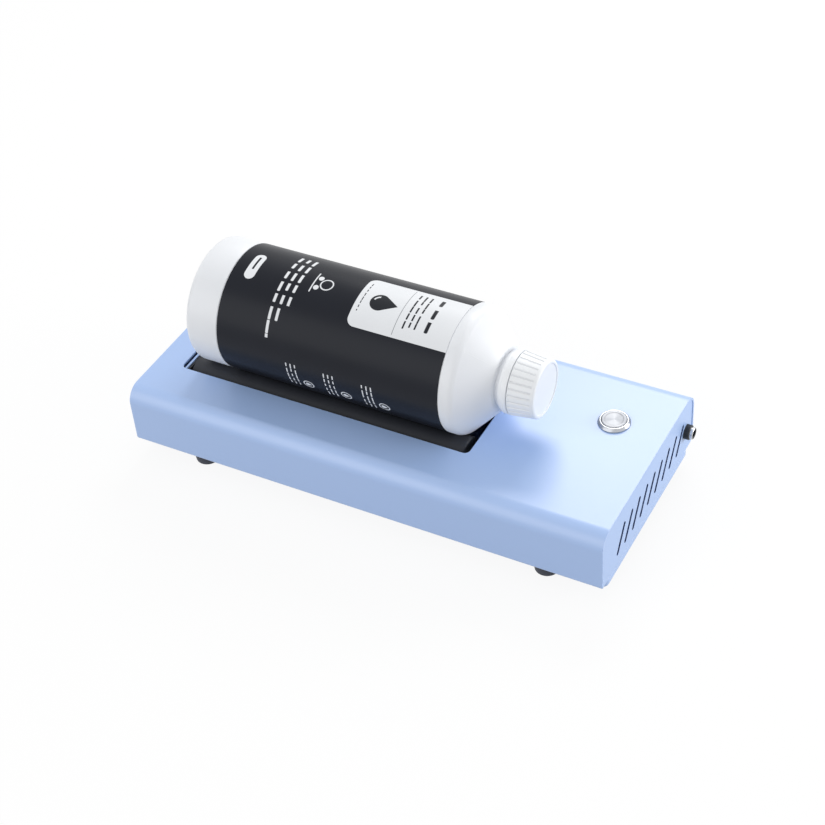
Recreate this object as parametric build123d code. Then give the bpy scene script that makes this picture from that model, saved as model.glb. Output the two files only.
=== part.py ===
from build123d import *
import math
import os

# Bottle shaker for ink: two rubber rollers in a low sheet-metal casing turn a one-litre bottle lying on them.
# Millimetres. X runs along the casing, Y from its front to its back, Z up from the surface it stands on.

# Casing of folded sheet
CASING_LENGTH = 350.0
CASING_WIDTH = 152.0
COVER_HEIGHT = 43.6
SHEET = 1.5
CUT = 1.0                 # a cut runs this far past what it cuts
WELD = 0.1                # joined solids reach this far into each other
BEND_R = 11.5             # outer radius of the two long bends along the top
FOLD_R = 2.2              # outer radius of every tight fold
CORNER_R = 2.5            # lower corners of the front and back walls, at the cover's ends
LIP_WIDTH = 20.0          # lips folded in under the front and back walls
END_INSET = 0.5           # the end panels sit this far inside the cover's cut ends
PANEL_GAP = 0.1           # around an end panel, inside the cover
PANEL_FLANGE = 12.0       # foot folded in along an end panel's lower edge
FLANGE_TO_LIP = 4.0       # between that foot's ends and the cover's lips
TRAY_HEIGHT = 6.4
TRAY_SET_BACK = 7.5       # from the cover's front and back walls
TRAY_CORNER_R = 4.0
SEAM = 0.3                # open seam between the tray's rim and the cover

# Feet and the screws that go through them
FOOT_HEIGHT = 8.0
FOOT_R = 9.0
FOOT_TAPER = 0.8
FOOT_FROM_END = 45.5      # from the casing's end to a foot's axis
FOOT_FROM_SIDE = 16.6
FOOT_RECESS_R = 4.2
FOOT_RECESS_DEPTH = 4.0
FOOT_EDGE_R = 1.2
SCREW_R = 1.5
SCREW_HEAD_R = 2.8
SCREW_HEAD_H = 2.0
SCREW_HEAD_EDGE_R = 0.7
SCREW_END = 1.2           # of a screw beyond the sheet that it holds
SCREW_GAP = 0.1           # around a screw's shank
STANDOFF_R = 3.0

# Well in the top of the cover
WELL_WIDTH = 79.0
WELL_CORNER_R = 4.0
WELL_FROM_END = 20.0      # from the casing's left end to the well's left edge
DRIVE_BAY = 109.6         # from the well's right edge to the casing's right end

# Roller cradle
ROLLER_R = 12.5
ROLLER_Y = 27.5
ROLLER_DROP = 0.2         # rollers' tops below the cover's top
SHAFT_R = 4.0
SHAFT_CHAMFER = 0.5
SLEEVE_GAP_LEFT = 2.7     # between a bracket and the end of the rubber
SLEEVE_GAP_RIGHT = 5.9
SLEEVE_CHAMFER = 1.0
FIT = 0.03                # radial clearance of a shaft in a bearing
PRESS = 0.02              # radial clearance of a part pressed on within one assembly
BEARING_R = 8.0
BEARING_WIDTH = 5.0
BEARING_FLANGE_R = 9.0
BEARING_FLANGE = 1.1
BEARING_RACE = 1.3        # width of each race beside the shield
BEARING_SHIELD = 0.3      # the shield lies this deep
BRACKET = 1.5
BRACKET_SIDE = 42.0       # half the width of a bracket
BRACKET_TOP_GAP = 0.5     # below the cover's underside
BRACKET_FOOT = 12.0
BRACKET_CORNER_R = 4.0
BRACKET_SHOWS = 1.3       # the left bracket stands this far inside the well's left edge
BRACKET_HIDES = 1.0       # the right bracket stands this far beyond the well's right edge
BRACKET_SCREW_Y = 34.0
BRACKET_WINDOW = 22.0     # width of the weight-saving window in each bracket
BRACKET_WINDOW_R = 3.0
PAD = 1.5                 # rubber pads on the brackets' inner faces
PAD_EDGE = 1.0            # of a bracket left bare beside and above its pad
PAD_GAP = 0.6             # around the bearings' flanges and above the bracket's foot
CLIP = 1.0
CLIP_R = 6.2
CLIP_GROOVE = 0.4
CLIP_PLAY = 0.05          # each side of a clip in its groove
CLIP_OPENING = 3.2
SHAFT_TAIL = 2.6          # of a shaft beyond its last clip

# Gears and motor
GEAR_MODULE = 1.0
ROLLER_TEETH = 18
MOTOR_TEETH = 16
GEAR_FACE = 7.0
GEAR_BACKLASH = 0.16
GEAR_ADDENDUM = 0.9
GEAR_DEDENDUM = 1.2
PRESSURE_ANGLE = 20.0     # degrees
HUB_R = 6.5
HUB = 4.0
GEAR_FROM_CLIP = 1.2
MOTOR_R = 12.5
MOTOR_EDGE = 0.5
GEARBOX = 21.0
CAN_R = 12.2
CAN = 31.0
CAN_EDGE = 0.8
MOTOR_CAP = 2.5
MOTOR_CAP_INSET = 1.6
MOTOR_CAP_BOSS_R = 3.4
MOTOR_CAP_BOSS = 1.6
MOTOR_SHAFT_R = 2.0
MOTOR_SHAFT_CHAMFER = 0.4
MOTOR_SHAFT_IN = 1.0      # of the shaft inside the gearbox
MOTOR_BORE = 1.5          # depth of the gearbox's bore behind its boss
MOTOR_BOSS_R = 3.5
MOTOR_BOSS = 2.2
MOTOR_SCREW_PITCH_R = 8.5
MOTOR_SCREW_DEPTH = 3.5
MOTOR_SCREW_ROOM = 0.5    # beyond the screw's end
MOTOR_BRACKET_GAP = 2.5   # between the gears' hubs and the motor bracket
MOTOR_BRACKET_SIDE = 16.0
MOTOR_BRACKET_FOOT = 18.0
MOTOR_BRACKET_RISE = 15.0  # above the motor's axis
MOTOR_BRACKET_R = 5.0
MOTOR_BRACKET_SCREW = 4.0  # from the bracket's side to a floor screw
TERMINAL = 0.6
TERMINAL_WIDTH = 2.4
TERMINAL_LENGTH = 5.0
MOTOR_BLADE_INSET = 4.0   # from the can's side to a terminal

# Push-button
SWITCH_FROM_END = 36.2
SWITCH_Y = 26.4
BEZEL_R = 11.0
BEZEL_HEIGHT = 2.0
BEZEL_TOP_R = 9.6
SWITCH_THREAD_R = 9.3
SWITCH_THREAD = 16.0
SWITCH_HOLE_GAP = 0.2
GASKET = 0.5
GASKET_R = 10.3
BUTTON_R = 8.3
BUTTON_GAP = 0.15
BUTTON_HEIGHT = 4.6
BUTTON_PROUD = 0.5
BUTTON_TRAVEL = 1.8
BUTTON_EDGE_R = 0.5
BUTTON_DISH = 0.25
BUTTON_DISH_R = 6.3
BUTTON_STEM_R = 2.5
STEM_IN = 1.0             # of the stem inside the contact block
STEM_ROOM = 1.0           # around the stem there
STEM_ROOM_BELOW = 1.2     # below the stem when it is pressed
SPRING_WIRE_R = 0.4
SPRING_R = 4.4
SPRING_TURNS = 4
SPRING_GAP = 0.1
NUT_FLATS = 22.0
NUT = 3.0
NUT_GAP = 0.05
SWITCH_BODY_R = 8.4
SWITCH_BODY = 11.0
SWITCH_BODY_EDGE = 0.8
SWITCH_BLADE_X = 3.8

# Power jack in the right end panel
JACK_FROM_SIDE = 12.3
JACK_UP = 17.7            # above the cover's lower edge
JACK_THREAD_R = 4.2
JACK_THREAD_EDGE = 0.3
JACK_NUT_R = 5.2
JACK_NUT = 3.9
JACK_NUT_EDGE = 0.5
JACK_PROUD = 6.0          # of the thread's end beyond the end panel
JACK_SHOULDER_R = 5.4
JACK_SHOULDER = 11.0
JACK_SLEEVE_R = 3.7
JACK_SLEEVE = 9.0
JACK_BORE_R = 2.8
JACK_BACK = 1.2           # thickness of the sleeve's closed end, which holds the pin
JACK_TAB = 2.6            # height of each terminal above or below the axis
JACK_PIN_R = 1.0
JACK_PIN_SINK = 0.8       # the pin's tip below the sleeve's mouth

# Vent slots in the right end panel
VENTS = 9
VENT_WIDTH = 3.4
VENT_LOW = 8.25           # above the cover's lower edge
VENT_HIGH = 27.55
VENT_LEAN = 12.3          # the top of a slot lies this far behind its bottom
VENT_FROM_FRONT = 24.05   # from the casing's front to the bottom of the first slot
VENT_FROM_BACK = 16.88    # from the casing's back to the top of the last slot

# Leads
LEAD_R = 0.8
LEAD_ROUNDING = 0.45      # share of the shorter run that a bend takes
LEAD_LIFT = 1.5           # of a lead above the tray's floor
LEAD_OUT = 8.0            # straight run from a tab or a blade
LEAD_REACH = 12.0         # how far a lead swings out before it turns
LEAD_STEP = 9.0
LEAD_SWEEP = 14.0         # sideways run beside the switch
LEAD_SLACK = 24.0         # sideways run behind the motor
LEAD_RISE = 5.0           # from a low run to a higher one
LEAD_DIP = 1.0
LEAD_TURN = 15.0
LEAD_BESIDE = 16.0
LEAD_HOP = 4.0

# Bottle
BOTTLE_R = 43.6
BOTTLE_WALL = 1.5
BOTTLE_FROM_WELL = 12.1   # from the well's left edge to the bottle's base
BOTTLE_TO_WELL = 8.9      # from the end of the straight wall to the well's right edge
SHOULDER = 19.0
NECK_R = 18.4
NECK_TOP_R = 22.5         # radius that the shoulder's slope comes down to
HEEL_R = 5.0
SHOULDER_R = 6.0
BASE_DISH = 2.0
BASE_RIM = 7.6            # from the bottle's wall to the edge of the dish in its base
BASE_DISH_SLOPE = 4.0     # width of the slope round the dish
ROLL_GAP = 0.3            # between the bottle and a roller
LABEL_START = 26.0
LABEL_TO_SHOULDER = 8.8   # from the label to the end of the straight wall
LABEL_RECESS = 0.5
LABEL = 0.4
LABEL_MARGIN = 0.4
BAND_START = 3.0          # tamper band, from the neck's root
BAND = 6.1
BAND_R = 21.9
BAND_NECK_R = 20.6
BAND_NECK = 1.6           # width of the band's narrow ring
BAND_SLOPE = 0.6
CAP_GAP = 0.7
CAP = 17.9
CAP_R = 21.9
CAP_FACE_R = 19.8
CAP_EDGE_R = 1.6
CAP_TOP = 1.8
CAP_BORE_R = 18.8
CAP_RIM = 2.6             # width of the raised rim round the cap's face
CAP_FACE_DEPTH = 0.6
CAP_PANELS = 6
CAP_GROOVES = 4
CAP_GROOVE_PITCH = 8.5    # degrees
CAP_GROOVE_WIDTH = 1.5
CAP_GROOVE_DEPTH = 0.5
CAP_COLLAR = 2.4          # ungrooved ring beside the face
LINER = 1.0
LINER_SIDE = 0.3          # between the liner and the cap's wall
LINER_GAP = 0.3           # between the liner and the neck's end
INK_GAP = 0.3
INK_FROM_END = 2.0        # of the neck left empty
INK_LEVEL = 27.0          # above the bottle's axis

# Worked out from the above
TRAY_Z = FOOT_HEIGHT
TRAY_FLOOR_Z = TRAY_Z + SHEET
COVER_Z = TRAY_Z + TRAY_HEIGHT + SEAM
TOP_Z = COVER_Z + COVER_HEIGHT
UNDER_Z = TOP_Z - SHEET
HALF_LENGTH = CASING_LENGTH / 2
HALF_WIDTH = CASING_WIDTH / 2
FOOT_X = HALF_LENGTH - FOOT_FROM_END
FOOT_Y = HALF_WIDTH - FOOT_FROM_SIDE
FLANGE_SIDE = HALF_WIDTH - LIP_WIDTH - FLANGE_TO_LIP
PANEL_X = HALF_LENGTH - END_INSET
WELL_LENGTH = CASING_LENGTH - WELL_FROM_END - DRIVE_BAY
WELL_LEFT = WELL_FROM_END - HALF_LENGTH
WELL_RIGHT = WELL_LEFT + WELL_LENGTH
ROLLER_Z = TOP_Z - ROLLER_DROP - ROLLER_R
LEFT_FACE = WELL_LEFT + BRACKET_SHOWS + BRACKET
RIGHT_FACE = WELL_RIGHT + BRACKET_HIDES
SLEEVE_LEFT = LEFT_FACE + SLEEVE_GAP_LEFT
SLEEVE_RIGHT = RIGHT_FACE - SLEEVE_GAP_RIGHT
BEARING_OUT = BEARING_WIDTH - BEARING_FLANGE
CLIP_LEFT = LEFT_FACE - BEARING_OUT
CLIP_RIGHT = RIGHT_FACE + BEARING_OUT
SHAFT_LEFT = CLIP_LEFT - CLIP - SHAFT_TAIL
GEAR_LEFT = CLIP_RIGHT + CLIP + GEAR_FROM_CLIP
GEAR_RIGHT = GEAR_LEFT + GEAR_FACE + HUB
GEAR_CENTRES = GEAR_MODULE * (ROLLER_TEETH + MOTOR_TEETH) / 2
MOTOR_Y = -ROLLER_Y
MOTOR_Z = ROLLER_Z - GEAR_CENTRES
MOTOR_FACE = GEAR_RIGHT + MOTOR_BRACKET_GAP + BRACKET
SWITCH_X = HALF_LENGTH - SWITCH_FROM_END
BEZEL_Z = TOP_Z + GASKET
BUTTON_Z = BEZEL_Z + BEZEL_HEIGHT + BUTTON_PROUD - BUTTON_HEIGHT
SWITCH_FLOOR_Z = BUTTON_Z - BUTTON_TRAVEL - 2 * SPRING_WIRE_R * SPRING_TURNS
SWITCH_BODY_Z = BEZEL_Z - SWITCH_THREAD
JACK_Y = HALF_WIDTH - JACK_FROM_SIDE
JACK_Z = COVER_Z + JACK_UP
VENT_FIRST_Y = VENT_FROM_FRONT - HALF_WIDTH + VENT_LEAN / 2
VENT_LAST_Y = HALF_WIDTH - VENT_FROM_BACK - VENT_LEAN / 2
VENT_PITCH = (VENT_LAST_Y - VENT_FIRST_Y) / (VENTS - 1)
BOTTLE_X = WELL_LEFT + BOTTLE_FROM_WELL
BOTTLE_BODY = WELL_LENGTH - BOTTLE_FROM_WELL - BOTTLE_TO_WELL
BASE_DISH_R = BOTTLE_R - BASE_RIM
LABEL_LENGTH = BOTTLE_BODY - LABEL_START - LABEL_TO_SHOULDER
BOTTLE_Z = ROLLER_Z + math.sqrt((BOTTLE_R + ROLLER_R + ROLL_GAP) ** 2 - ROLLER_Y ** 2)
NECK_X = BOTTLE_BODY + SHOULDER
CAP_X = NECK_X + BAND_START + BAND + CAP_GAP
CAP_INSIDE_X = CAP_X + CAP - CAP_TOP - CAP_FACE_DEPTH
NECK_END_X = CAP_INSIDE_X - LINER - LINER_GAP
CENTRE_X = -JACK_PROUD / 2 + END_INSET / 2


def block(x0, x1, y0, y1, z0, z1):
    """A box given by its limits."""
    return Pos((x0 + x1) / 2, (y0 + y1) / 2, (z0 + z1) / 2) * Box(x1 - x0, y1 - y0, z1 - z0)


def bar(radius, x0, x1, y, z):
    """A round bar along X."""
    return Pos((x0 + x1) / 2, y, z) * Rot(0, 90, 0) * Cylinder(radius, x1 - x0)


def post(radius, z0, z1, x, y):
    """A round bar along Z."""
    return Pos(x, y, (z0 + z1) / 2) * Cylinder(radius, z1 - z0)


def spun(*corners):
    """Turns a closed outline of (distance along X, radius) corners into a solid about the X axis."""
    return revolve(make_face(Polyline(*corners, close=True)), Axis.X)


def long_edges(solid, z_low, z_high):
    """The edges along X whose middles lie between two heights."""
    edges = solid.edges().filter_by(Axis.X)
    return edges.filter_by(lambda e: z_low < e.center().Z < z_high)


def arch(inset, half_length, z_low, fold):
    """A block with the casing's rounded section, its wall drawn in by the inset."""
    half_width = HALF_WIDTH - inset
    solid = block(-half_length, half_length, -half_width, half_width, z_low, TOP_Z - inset)
    solid = fillet(long_edges(solid, TOP_Z - inset - WELD, TOP_Z - inset + WELD), BEND_R - inset)
    if fold > 0:
        solid = fillet(long_edges(solid, z_low - WELD, z_low + WELD), fold)
    return solid


def foot_points():
    return [(x, y) for x in (-FOOT_X, FOOT_X) for y in (-FOOT_Y, FOOT_Y)]


def top_cover():
    shell = arch(0, HALF_LENGTH, COVER_Z, FOLD_R)
    shell -= arch(SHEET, HALF_LENGTH + CUT, COVER_Z + SHEET, FOLD_R - SHEET)
    lip_edge = HALF_WIDTH - LIP_WIDTH
    low = COVER_Z - CUT
    high = COVER_Z + SHEET + CUT
    shell -= block(-HALF_LENGTH - CUT, HALF_LENGTH + CUT, -lip_edge, lip_edge, low, high)
    for side in (-1, 1):
        inner = side * (PANEL_X - SHEET - PANEL_GAP)
        outer = side * (HALF_LENGTH + CUT)
        reach = HALF_WIDTH - SHEET
        shell -= block(min(inner, outer), max(inner, outer), -reach, reach, low, high)
    well = extrude(RectangleRounded(WELL_LENGTH, WELL_WIDTH, WELL_CORNER_R), SHEET + 2 * CUT)
    shell -= Pos((WELL_LEFT + WELL_RIGHT) / 2, 0, UNDER_Z - CUT) * well
    shell -= post(SWITCH_THREAD_R + SWITCH_HOLE_GAP, UNDER_Z - CUT, TOP_Z + CUT, SWITCH_X, SWITCH_Y)
    for x, y in foot_points():
        shell -= post(SCREW_R + SCREW_GAP, low, high, x, y)
    tall = 2 * COVER_HEIGHT
    side_view = Plane.XZ * (Pos(0, COVER_Z + tall / 2) * RectangleRounded(CASING_LENGTH, tall, CORNER_R))
    return shell & extrude(side_view, CASING_WIDTH, both=True)


def end_panel(side):
    """A flat panel closing the cover's end, with a foot folded in along its lower edge."""
    outer = PANEL_X
    inner = PANEL_X - SHEET
    panel = arch(SHEET + PANEL_GAP, outer, COVER_Z, 0)
    panel -= block(-outer - CUT, inner, -HALF_WIDTH, HALF_WIDTH, COVER_Z - CUT, TOP_Z)
    foot = block(outer - PANEL_FLANGE, outer, -FLANGE_SIDE, FLANGE_SIDE, COVER_Z, COVER_Z + SHEET)
    panel += foot
    if side > 0:
        panel -= vent_slots()
        panel -= bar(JACK_THREAD_R + SCREW_GAP, inner - CUT, outer + CUT, JACK_Y, JACK_Z)
        return panel
    return mirror(panel, about=Plane.YZ)


def vent_slots():
    """Slanted slots with round ends, cut through the right end panel."""
    rise = VENT_HIGH - VENT_LOW
    length = math.hypot(rise, VENT_LEAN)
    lean = math.degrees(math.atan2(rise, VENT_LEAN))
    slots = []
    for index in range(VENTS):
        y = VENT_FIRST_Y + index * VENT_PITCH
        z = COVER_Z + (VENT_LOW + VENT_HIGH) / 2
        slot = extrude(Rot(0, 0, lean) * SlotOverall(length, VENT_WIDTH), SHEET + 2 * CUT)
        plane = Plane(origin=(PANEL_X - SHEET - CUT, y, z), x_dir=(0, 1, 0), z_dir=(1, 0, 0))
        slots.append(plane.location * slot)
    return slots


def base_tray():
    half_width = HALF_WIDTH - TRAY_SET_BACK
    outer = extrude(RectangleRounded(2 * PANEL_X, 2 * half_width, TRAY_CORNER_R), TRAY_HEIGHT)
    inner = extrude(
        RectangleRounded(2 * (PANEL_X - SHEET), 2 * (half_width - SHEET), TRAY_CORNER_R - SHEET), TRAY_HEIGHT
    )
    outer = fillet(outer.faces().sort_by(Axis.Z)[0].edges(), FOLD_R)
    tray = Pos(0, 0, TRAY_Z) * outer - Pos(0, 0, TRAY_FLOOR_Z) * inner
    for x, y in foot_points() + floor_screw_points():
        tray -= post(SCREW_R + SCREW_GAP, TRAY_Z - CUT, TRAY_FLOOR_Z + CUT, x, y)
    return tray


def floor_screw_points():
    """Where screws from below hold the brackets' feet to the tray."""
    left_x = LEFT_FACE - BRACKET - BRACKET_FOOT / 2
    right_x = RIGHT_FACE + BRACKET + BRACKET_FOOT / 2
    points = [(x, y) for x in (left_x, right_x) for y in (-BRACKET_SCREW_Y, BRACKET_SCREW_Y)]
    motor_x = MOTOR_FACE + MOTOR_BRACKET_FOOT / 2
    points += [(motor_x, MOTOR_Y + side * (MOTOR_BRACKET_SIDE - MOTOR_BRACKET_SCREW)) for side in (-1, 1)]
    return points


def rubber_foot(x, y):
    foot = Cone(FOOT_R - FOOT_TAPER, FOOT_R, FOOT_HEIGHT)
    foot = fillet(foot.edges().group_by(Axis.Z)[0], FOOT_EDGE_R)
    foot = Pos(x, y, FOOT_HEIGHT / 2) * foot
    foot -= post(FOOT_RECESS_R, -CUT, FOOT_RECESS_DEPTH, x, y)
    return foot - post(SCREW_R + SCREW_GAP, 0, FOOT_HEIGHT + CUT, x, y)


def upward_screw(x, y, head_z, end_z):
    """A pan-head screw driven from below, its head's seat at head_z."""
    head = Pos(x, y, head_z - SCREW_HEAD_H / 2) * Cylinder(SCREW_HEAD_R, SCREW_HEAD_H)
    head = fillet(head.edges().group_by(Axis.Z)[0], SCREW_HEAD_EDGE_R)
    return head + post(SCREW_R, head_z - WELD, end_z, x, y)


def foot_screws():
    end_z = COVER_Z + SHEET + SCREW_END
    return [upward_screw(x, y, FOOT_RECESS_DEPTH, end_z) for x, y in foot_points()]


def cover_standoffs():
    """Threaded spacers between the tray's floor and the cover's lips."""
    made = []
    for x, y in foot_points():
        spacer = post(STANDOFF_R, TRAY_FLOOR_Z, COVER_Z, x, y)
        made.append(spacer - post(SCREW_R + PRESS, TRAY_FLOOR_Z - CUT, COVER_Z + CUT, x, y))
    return made


def floor_screws():
    end_z = TRAY_FLOOR_Z + BRACKET + SCREW_END
    return [upward_screw(x, y, TRAY_Z, end_z) for x, y in floor_screw_points()]


def roller_sleeve(y):
    sleeve = bar(ROLLER_R, SLEEVE_LEFT, SLEEVE_RIGHT, y, ROLLER_Z)
    sleeve = chamfer(sleeve.edges().filter_by(GeomType.CIRCLE), SLEEVE_CHAMFER)
    return sleeve - bar(SHAFT_R + PRESS, SLEEVE_LEFT - CUT, SLEEVE_RIGHT + CUT, y, ROLLER_Z)


def roller_shaft(y, right):
    shaft = bar(SHAFT_R, SHAFT_LEFT, right, y, ROLLER_Z)
    shaft = chamfer(shaft.edges().filter_by(GeomType.CIRCLE), SHAFT_CHAMFER)
    for x in (CLIP_LEFT - CLIP, CLIP_RIGHT):
        groove = bar(SHAFT_R + CUT, x, x + CLIP, y, ROLLER_Z)
        shaft -= groove - bar(SHAFT_R - CLIP_GROOVE, x, x + CLIP, y, ROLLER_Z)
    return shaft


def shaft_clips(y):
    """Open retaining rings in the shaft's two grooves, outside the bearings."""
    clips = []
    for x in (CLIP_LEFT - CLIP, CLIP_RIGHT):
        ring = bar(CLIP_R, x + CLIP_PLAY, x + CLIP - CLIP_PLAY, y, ROLLER_Z)
        ring -= bar(SHAFT_R - CLIP_GROOVE + PRESS, x, x + CLIP, y, ROLLER_Z)
        half = CLIP_OPENING / 2
        clips.append(ring - block(x, x + CLIP, y - half, y + half, ROLLER_Z, ROLLER_Z + CLIP_R + CUT))
    return clips


def bearing(y, side):
    """A flanged ball bearing with its shields, its flange against the bracket's inner face."""
    bore = SHAFT_R + FIT
    seat = BEARING_R - PRESS
    ring = spun(
        (0, bore), (0, BEARING_FLANGE_R), (BEARING_FLANGE, BEARING_FLANGE_R), (BEARING_FLANGE, seat),
        (BEARING_WIDTH, seat), (BEARING_WIDTH, bore),
    )
    for x in (0, BEARING_WIDTH):
        shield = bar(BEARING_R - BEARING_RACE, x - BEARING_SHIELD, x + BEARING_SHIELD, 0, 0)
        ring -= shield - bar(SHAFT_R + BEARING_RACE, x - CUT, x + CUT, 0, 0)
    if side < 0:
        return Pos(LEFT_FACE + BEARING_FLANGE, y, ROLLER_Z) * mirror(ring, about=Plane.YZ)
    return Pos(RIGHT_FACE - BEARING_FLANGE, y, ROLLER_Z) * ring


def roller_bracket(side):
    """A folded plate across the casing that carries both rollers' bearings."""
    inner = LEFT_FACE if side < 0 else RIGHT_FACE
    outer = inner + side * BRACKET
    top = UNDER_Z - BRACKET_TOP_GAP
    plate = block(min(inner, outer), max(inner, outer), -BRACKET_SIDE, BRACKET_SIDE, TRAY_FLOOR_Z, top)
    plate = fillet(plate.edges().filter_by(Axis.X).group_by(Axis.Z)[-1], BRACKET_CORNER_R)
    toe = outer + side * BRACKET_FOOT
    foot_top = TRAY_FLOOR_Z + BRACKET
    plate += block(min(inner, toe), max(inner, toe), -BRACKET_SIDE, BRACKET_SIDE, TRAY_FLOOR_Z, foot_top)
    for y in (-ROLLER_Y, ROLLER_Y):
        plate -= bar(BEARING_R, min(inner, outer) - CUT, max(inner, outer) + CUT, y, ROLLER_Z)
    window = extrude(RectangleRounded(BRACKET_WINDOW, BRACKET_WINDOW, BRACKET_WINDOW_R), BRACKET + 2 * CUT)
    centre_z = (TRAY_FLOOR_Z + top) / 2
    plane = Plane(origin=(min(inner, outer) - CUT, 0, centre_z), x_dir=(0, 1, 0), z_dir=(1, 0, 0))
    plate -= plane.location * window
    for x, y in floor_screw_points():
        plate -= post(SCREW_R + PRESS, TRAY_FLOOR_Z - CUT, TRAY_FLOOR_Z + BRACKET + CUT, x, y)
    return plate


def end_pad(side):
    """A rubber pad on a bracket's inner face, cut round the bearings, against which a bottle may drift."""
    face = LEFT_FACE if side < 0 else RIGHT_FACE
    inner = face - side * PAD
    low = TRAY_FLOOR_Z + BRACKET + PAD_GAP
    top = UNDER_Z - BRACKET_TOP_GAP - PAD_EDGE
    half_width = BRACKET_SIDE - PAD_EDGE
    pad = block(min(face, inner), max(face, inner), -half_width, half_width, low, top)
    for y in (-ROLLER_Y, ROLLER_Y):
        pad -= bar(BEARING_FLANGE_R + PAD_GAP, min(face, inner) - CUT, max(face, inner) + CUT, y, ROLLER_Z)
    return pad


def involute_half(teeth, radius):
    """Half the angle of a tooth at a radius, measured from its middle."""
    pressure = math.radians(PRESSURE_ANGLE)
    pitch_r = GEAR_MODULE * teeth / 2
    base_r = pitch_r * math.cos(pressure)
    half_pitch = (math.pi * GEAR_MODULE / 2 - GEAR_BACKLASH) / (2 * pitch_r)
    at_pitch = math.tan(pressure) - pressure
    if radius <= base_r:
        return half_pitch + at_pitch
    angle = math.acos(base_r / radius)
    return half_pitch + at_pitch - (math.tan(angle) - angle)


def gear(teeth, x0, y, z, bore_r, tooth_at):
    """A spur gear with a hub on its right. One tooth's middle is at tooth_at degrees from +Y."""
    pitch_r = GEAR_MODULE * teeth / 2
    tip_r = pitch_r + GEAR_ADDENDUM * GEAR_MODULE
    root_r = pitch_r - GEAR_DEDENDUM * GEAR_MODULE
    levels = [root_r, (root_r + pitch_r) / 2, pitch_r, (pitch_r + tip_r) / 2, tip_r]
    outline = []
    for index in range(teeth):
        middle = math.radians(tooth_at) + index * 2 * math.pi / teeth
        rising = [(radius, middle - involute_half(teeth, radius)) for radius in levels]
        falling = [(radius, middle + involute_half(teeth, radius)) for radius in reversed(levels)]
        outline += rising + falling
    corners = [(radius * math.cos(angle), radius * math.sin(angle)) for radius, angle in outline]
    wheel = extrude(make_face(Polyline(*corners, close=True)), GEAR_FACE)
    plane = Plane(origin=(x0, y, z), x_dir=(0, 1, 0), z_dir=(1, 0, 0))
    wheel = plane.location * wheel
    wheel += bar(HUB_R, x0 + GEAR_FACE - WELD, x0 + GEAR_FACE + HUB, y, z)
    return wheel - bar(bore_r + PRESS, x0 - CUT, x0 + GEAR_FACE + HUB + CUT, y, z)


def roller_gear():
    return gear(ROLLER_TEETH, GEAR_LEFT, -ROLLER_Y, ROLLER_Z, SHAFT_R, -90)


def motor_pinion():
    """Set half a tooth round, so that a gap faces the roller gear's tooth."""
    return gear(MOTOR_TEETH, GEAR_LEFT, MOTOR_Y, MOTOR_Z, MOTOR_SHAFT_R, 90 + 180 / MOTOR_TEETH)


def motor_shaft():
    shaft = bar(MOTOR_SHAFT_R, GEAR_LEFT, MOTOR_FACE + MOTOR_SHAFT_IN, MOTOR_Y, MOTOR_Z)
    return chamfer(shaft.edges().filter_by(GeomType.CIRCLE).sort_by(Axis.X)[0], MOTOR_SHAFT_CHAMFER)


def motor_screw_points():
    return [(MOTOR_Y + side * MOTOR_SCREW_PITCH_R, MOTOR_Z) for side in (-1, 1)]


def motor_gearbox():
    body = bar(MOTOR_R, MOTOR_FACE, MOTOR_FACE + GEARBOX, MOTOR_Y, MOTOR_Z)
    body = chamfer(body.edges().filter_by(GeomType.CIRCLE), MOTOR_EDGE)
    body += bar(MOTOR_BOSS_R, MOTOR_FACE - MOTOR_BOSS, MOTOR_FACE + WELD, MOTOR_Y, MOTOR_Z)
    body -= bar(MOTOR_SHAFT_R + FIT, MOTOR_FACE - MOTOR_BOSS - CUT, MOTOR_FACE + MOTOR_BORE, MOTOR_Y, MOTOR_Z)
    screw_end = MOTOR_FACE + MOTOR_SCREW_DEPTH + MOTOR_SCREW_ROOM
    for y, z in motor_screw_points():
        body -= bar(SCREW_R + PRESS, MOTOR_FACE - CUT, screw_end, y, z)
    return body


def motor_can():
    start = MOTOR_FACE + GEARBOX
    can = bar(CAN_R, start, start + CAN, MOTOR_Y, MOTOR_Z)
    return chamfer(can.edges().filter_by(GeomType.CIRCLE).sort_by(Axis.X)[-1], CAN_EDGE)


def motor_end_cap():
    start = MOTOR_FACE + GEARBOX + CAN
    end = start + MOTOR_CAP
    cap = bar(CAN_R - MOTOR_CAP_INSET, start, end, MOTOR_Y, MOTOR_Z)
    return cap + bar(MOTOR_CAP_BOSS_R, end - WELD, end + MOTOR_CAP_BOSS, MOTOR_Y, MOTOR_Z)


def motor_terminals():
    start = MOTOR_FACE + GEARBOX + CAN + MOTOR_CAP
    z0 = MOTOR_Z - TERMINAL_WIDTH / 2
    z1 = MOTOR_Z + TERMINAL_WIDTH / 2
    blades = []
    for side in (-1, 1):
        y = MOTOR_Y + side * (CAN_R - MOTOR_BLADE_INSET)
        blades.append(block(start, start + TERMINAL_LENGTH, y - TERMINAL / 2, y + TERMINAL / 2, z0, z1))
    return blades


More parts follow.
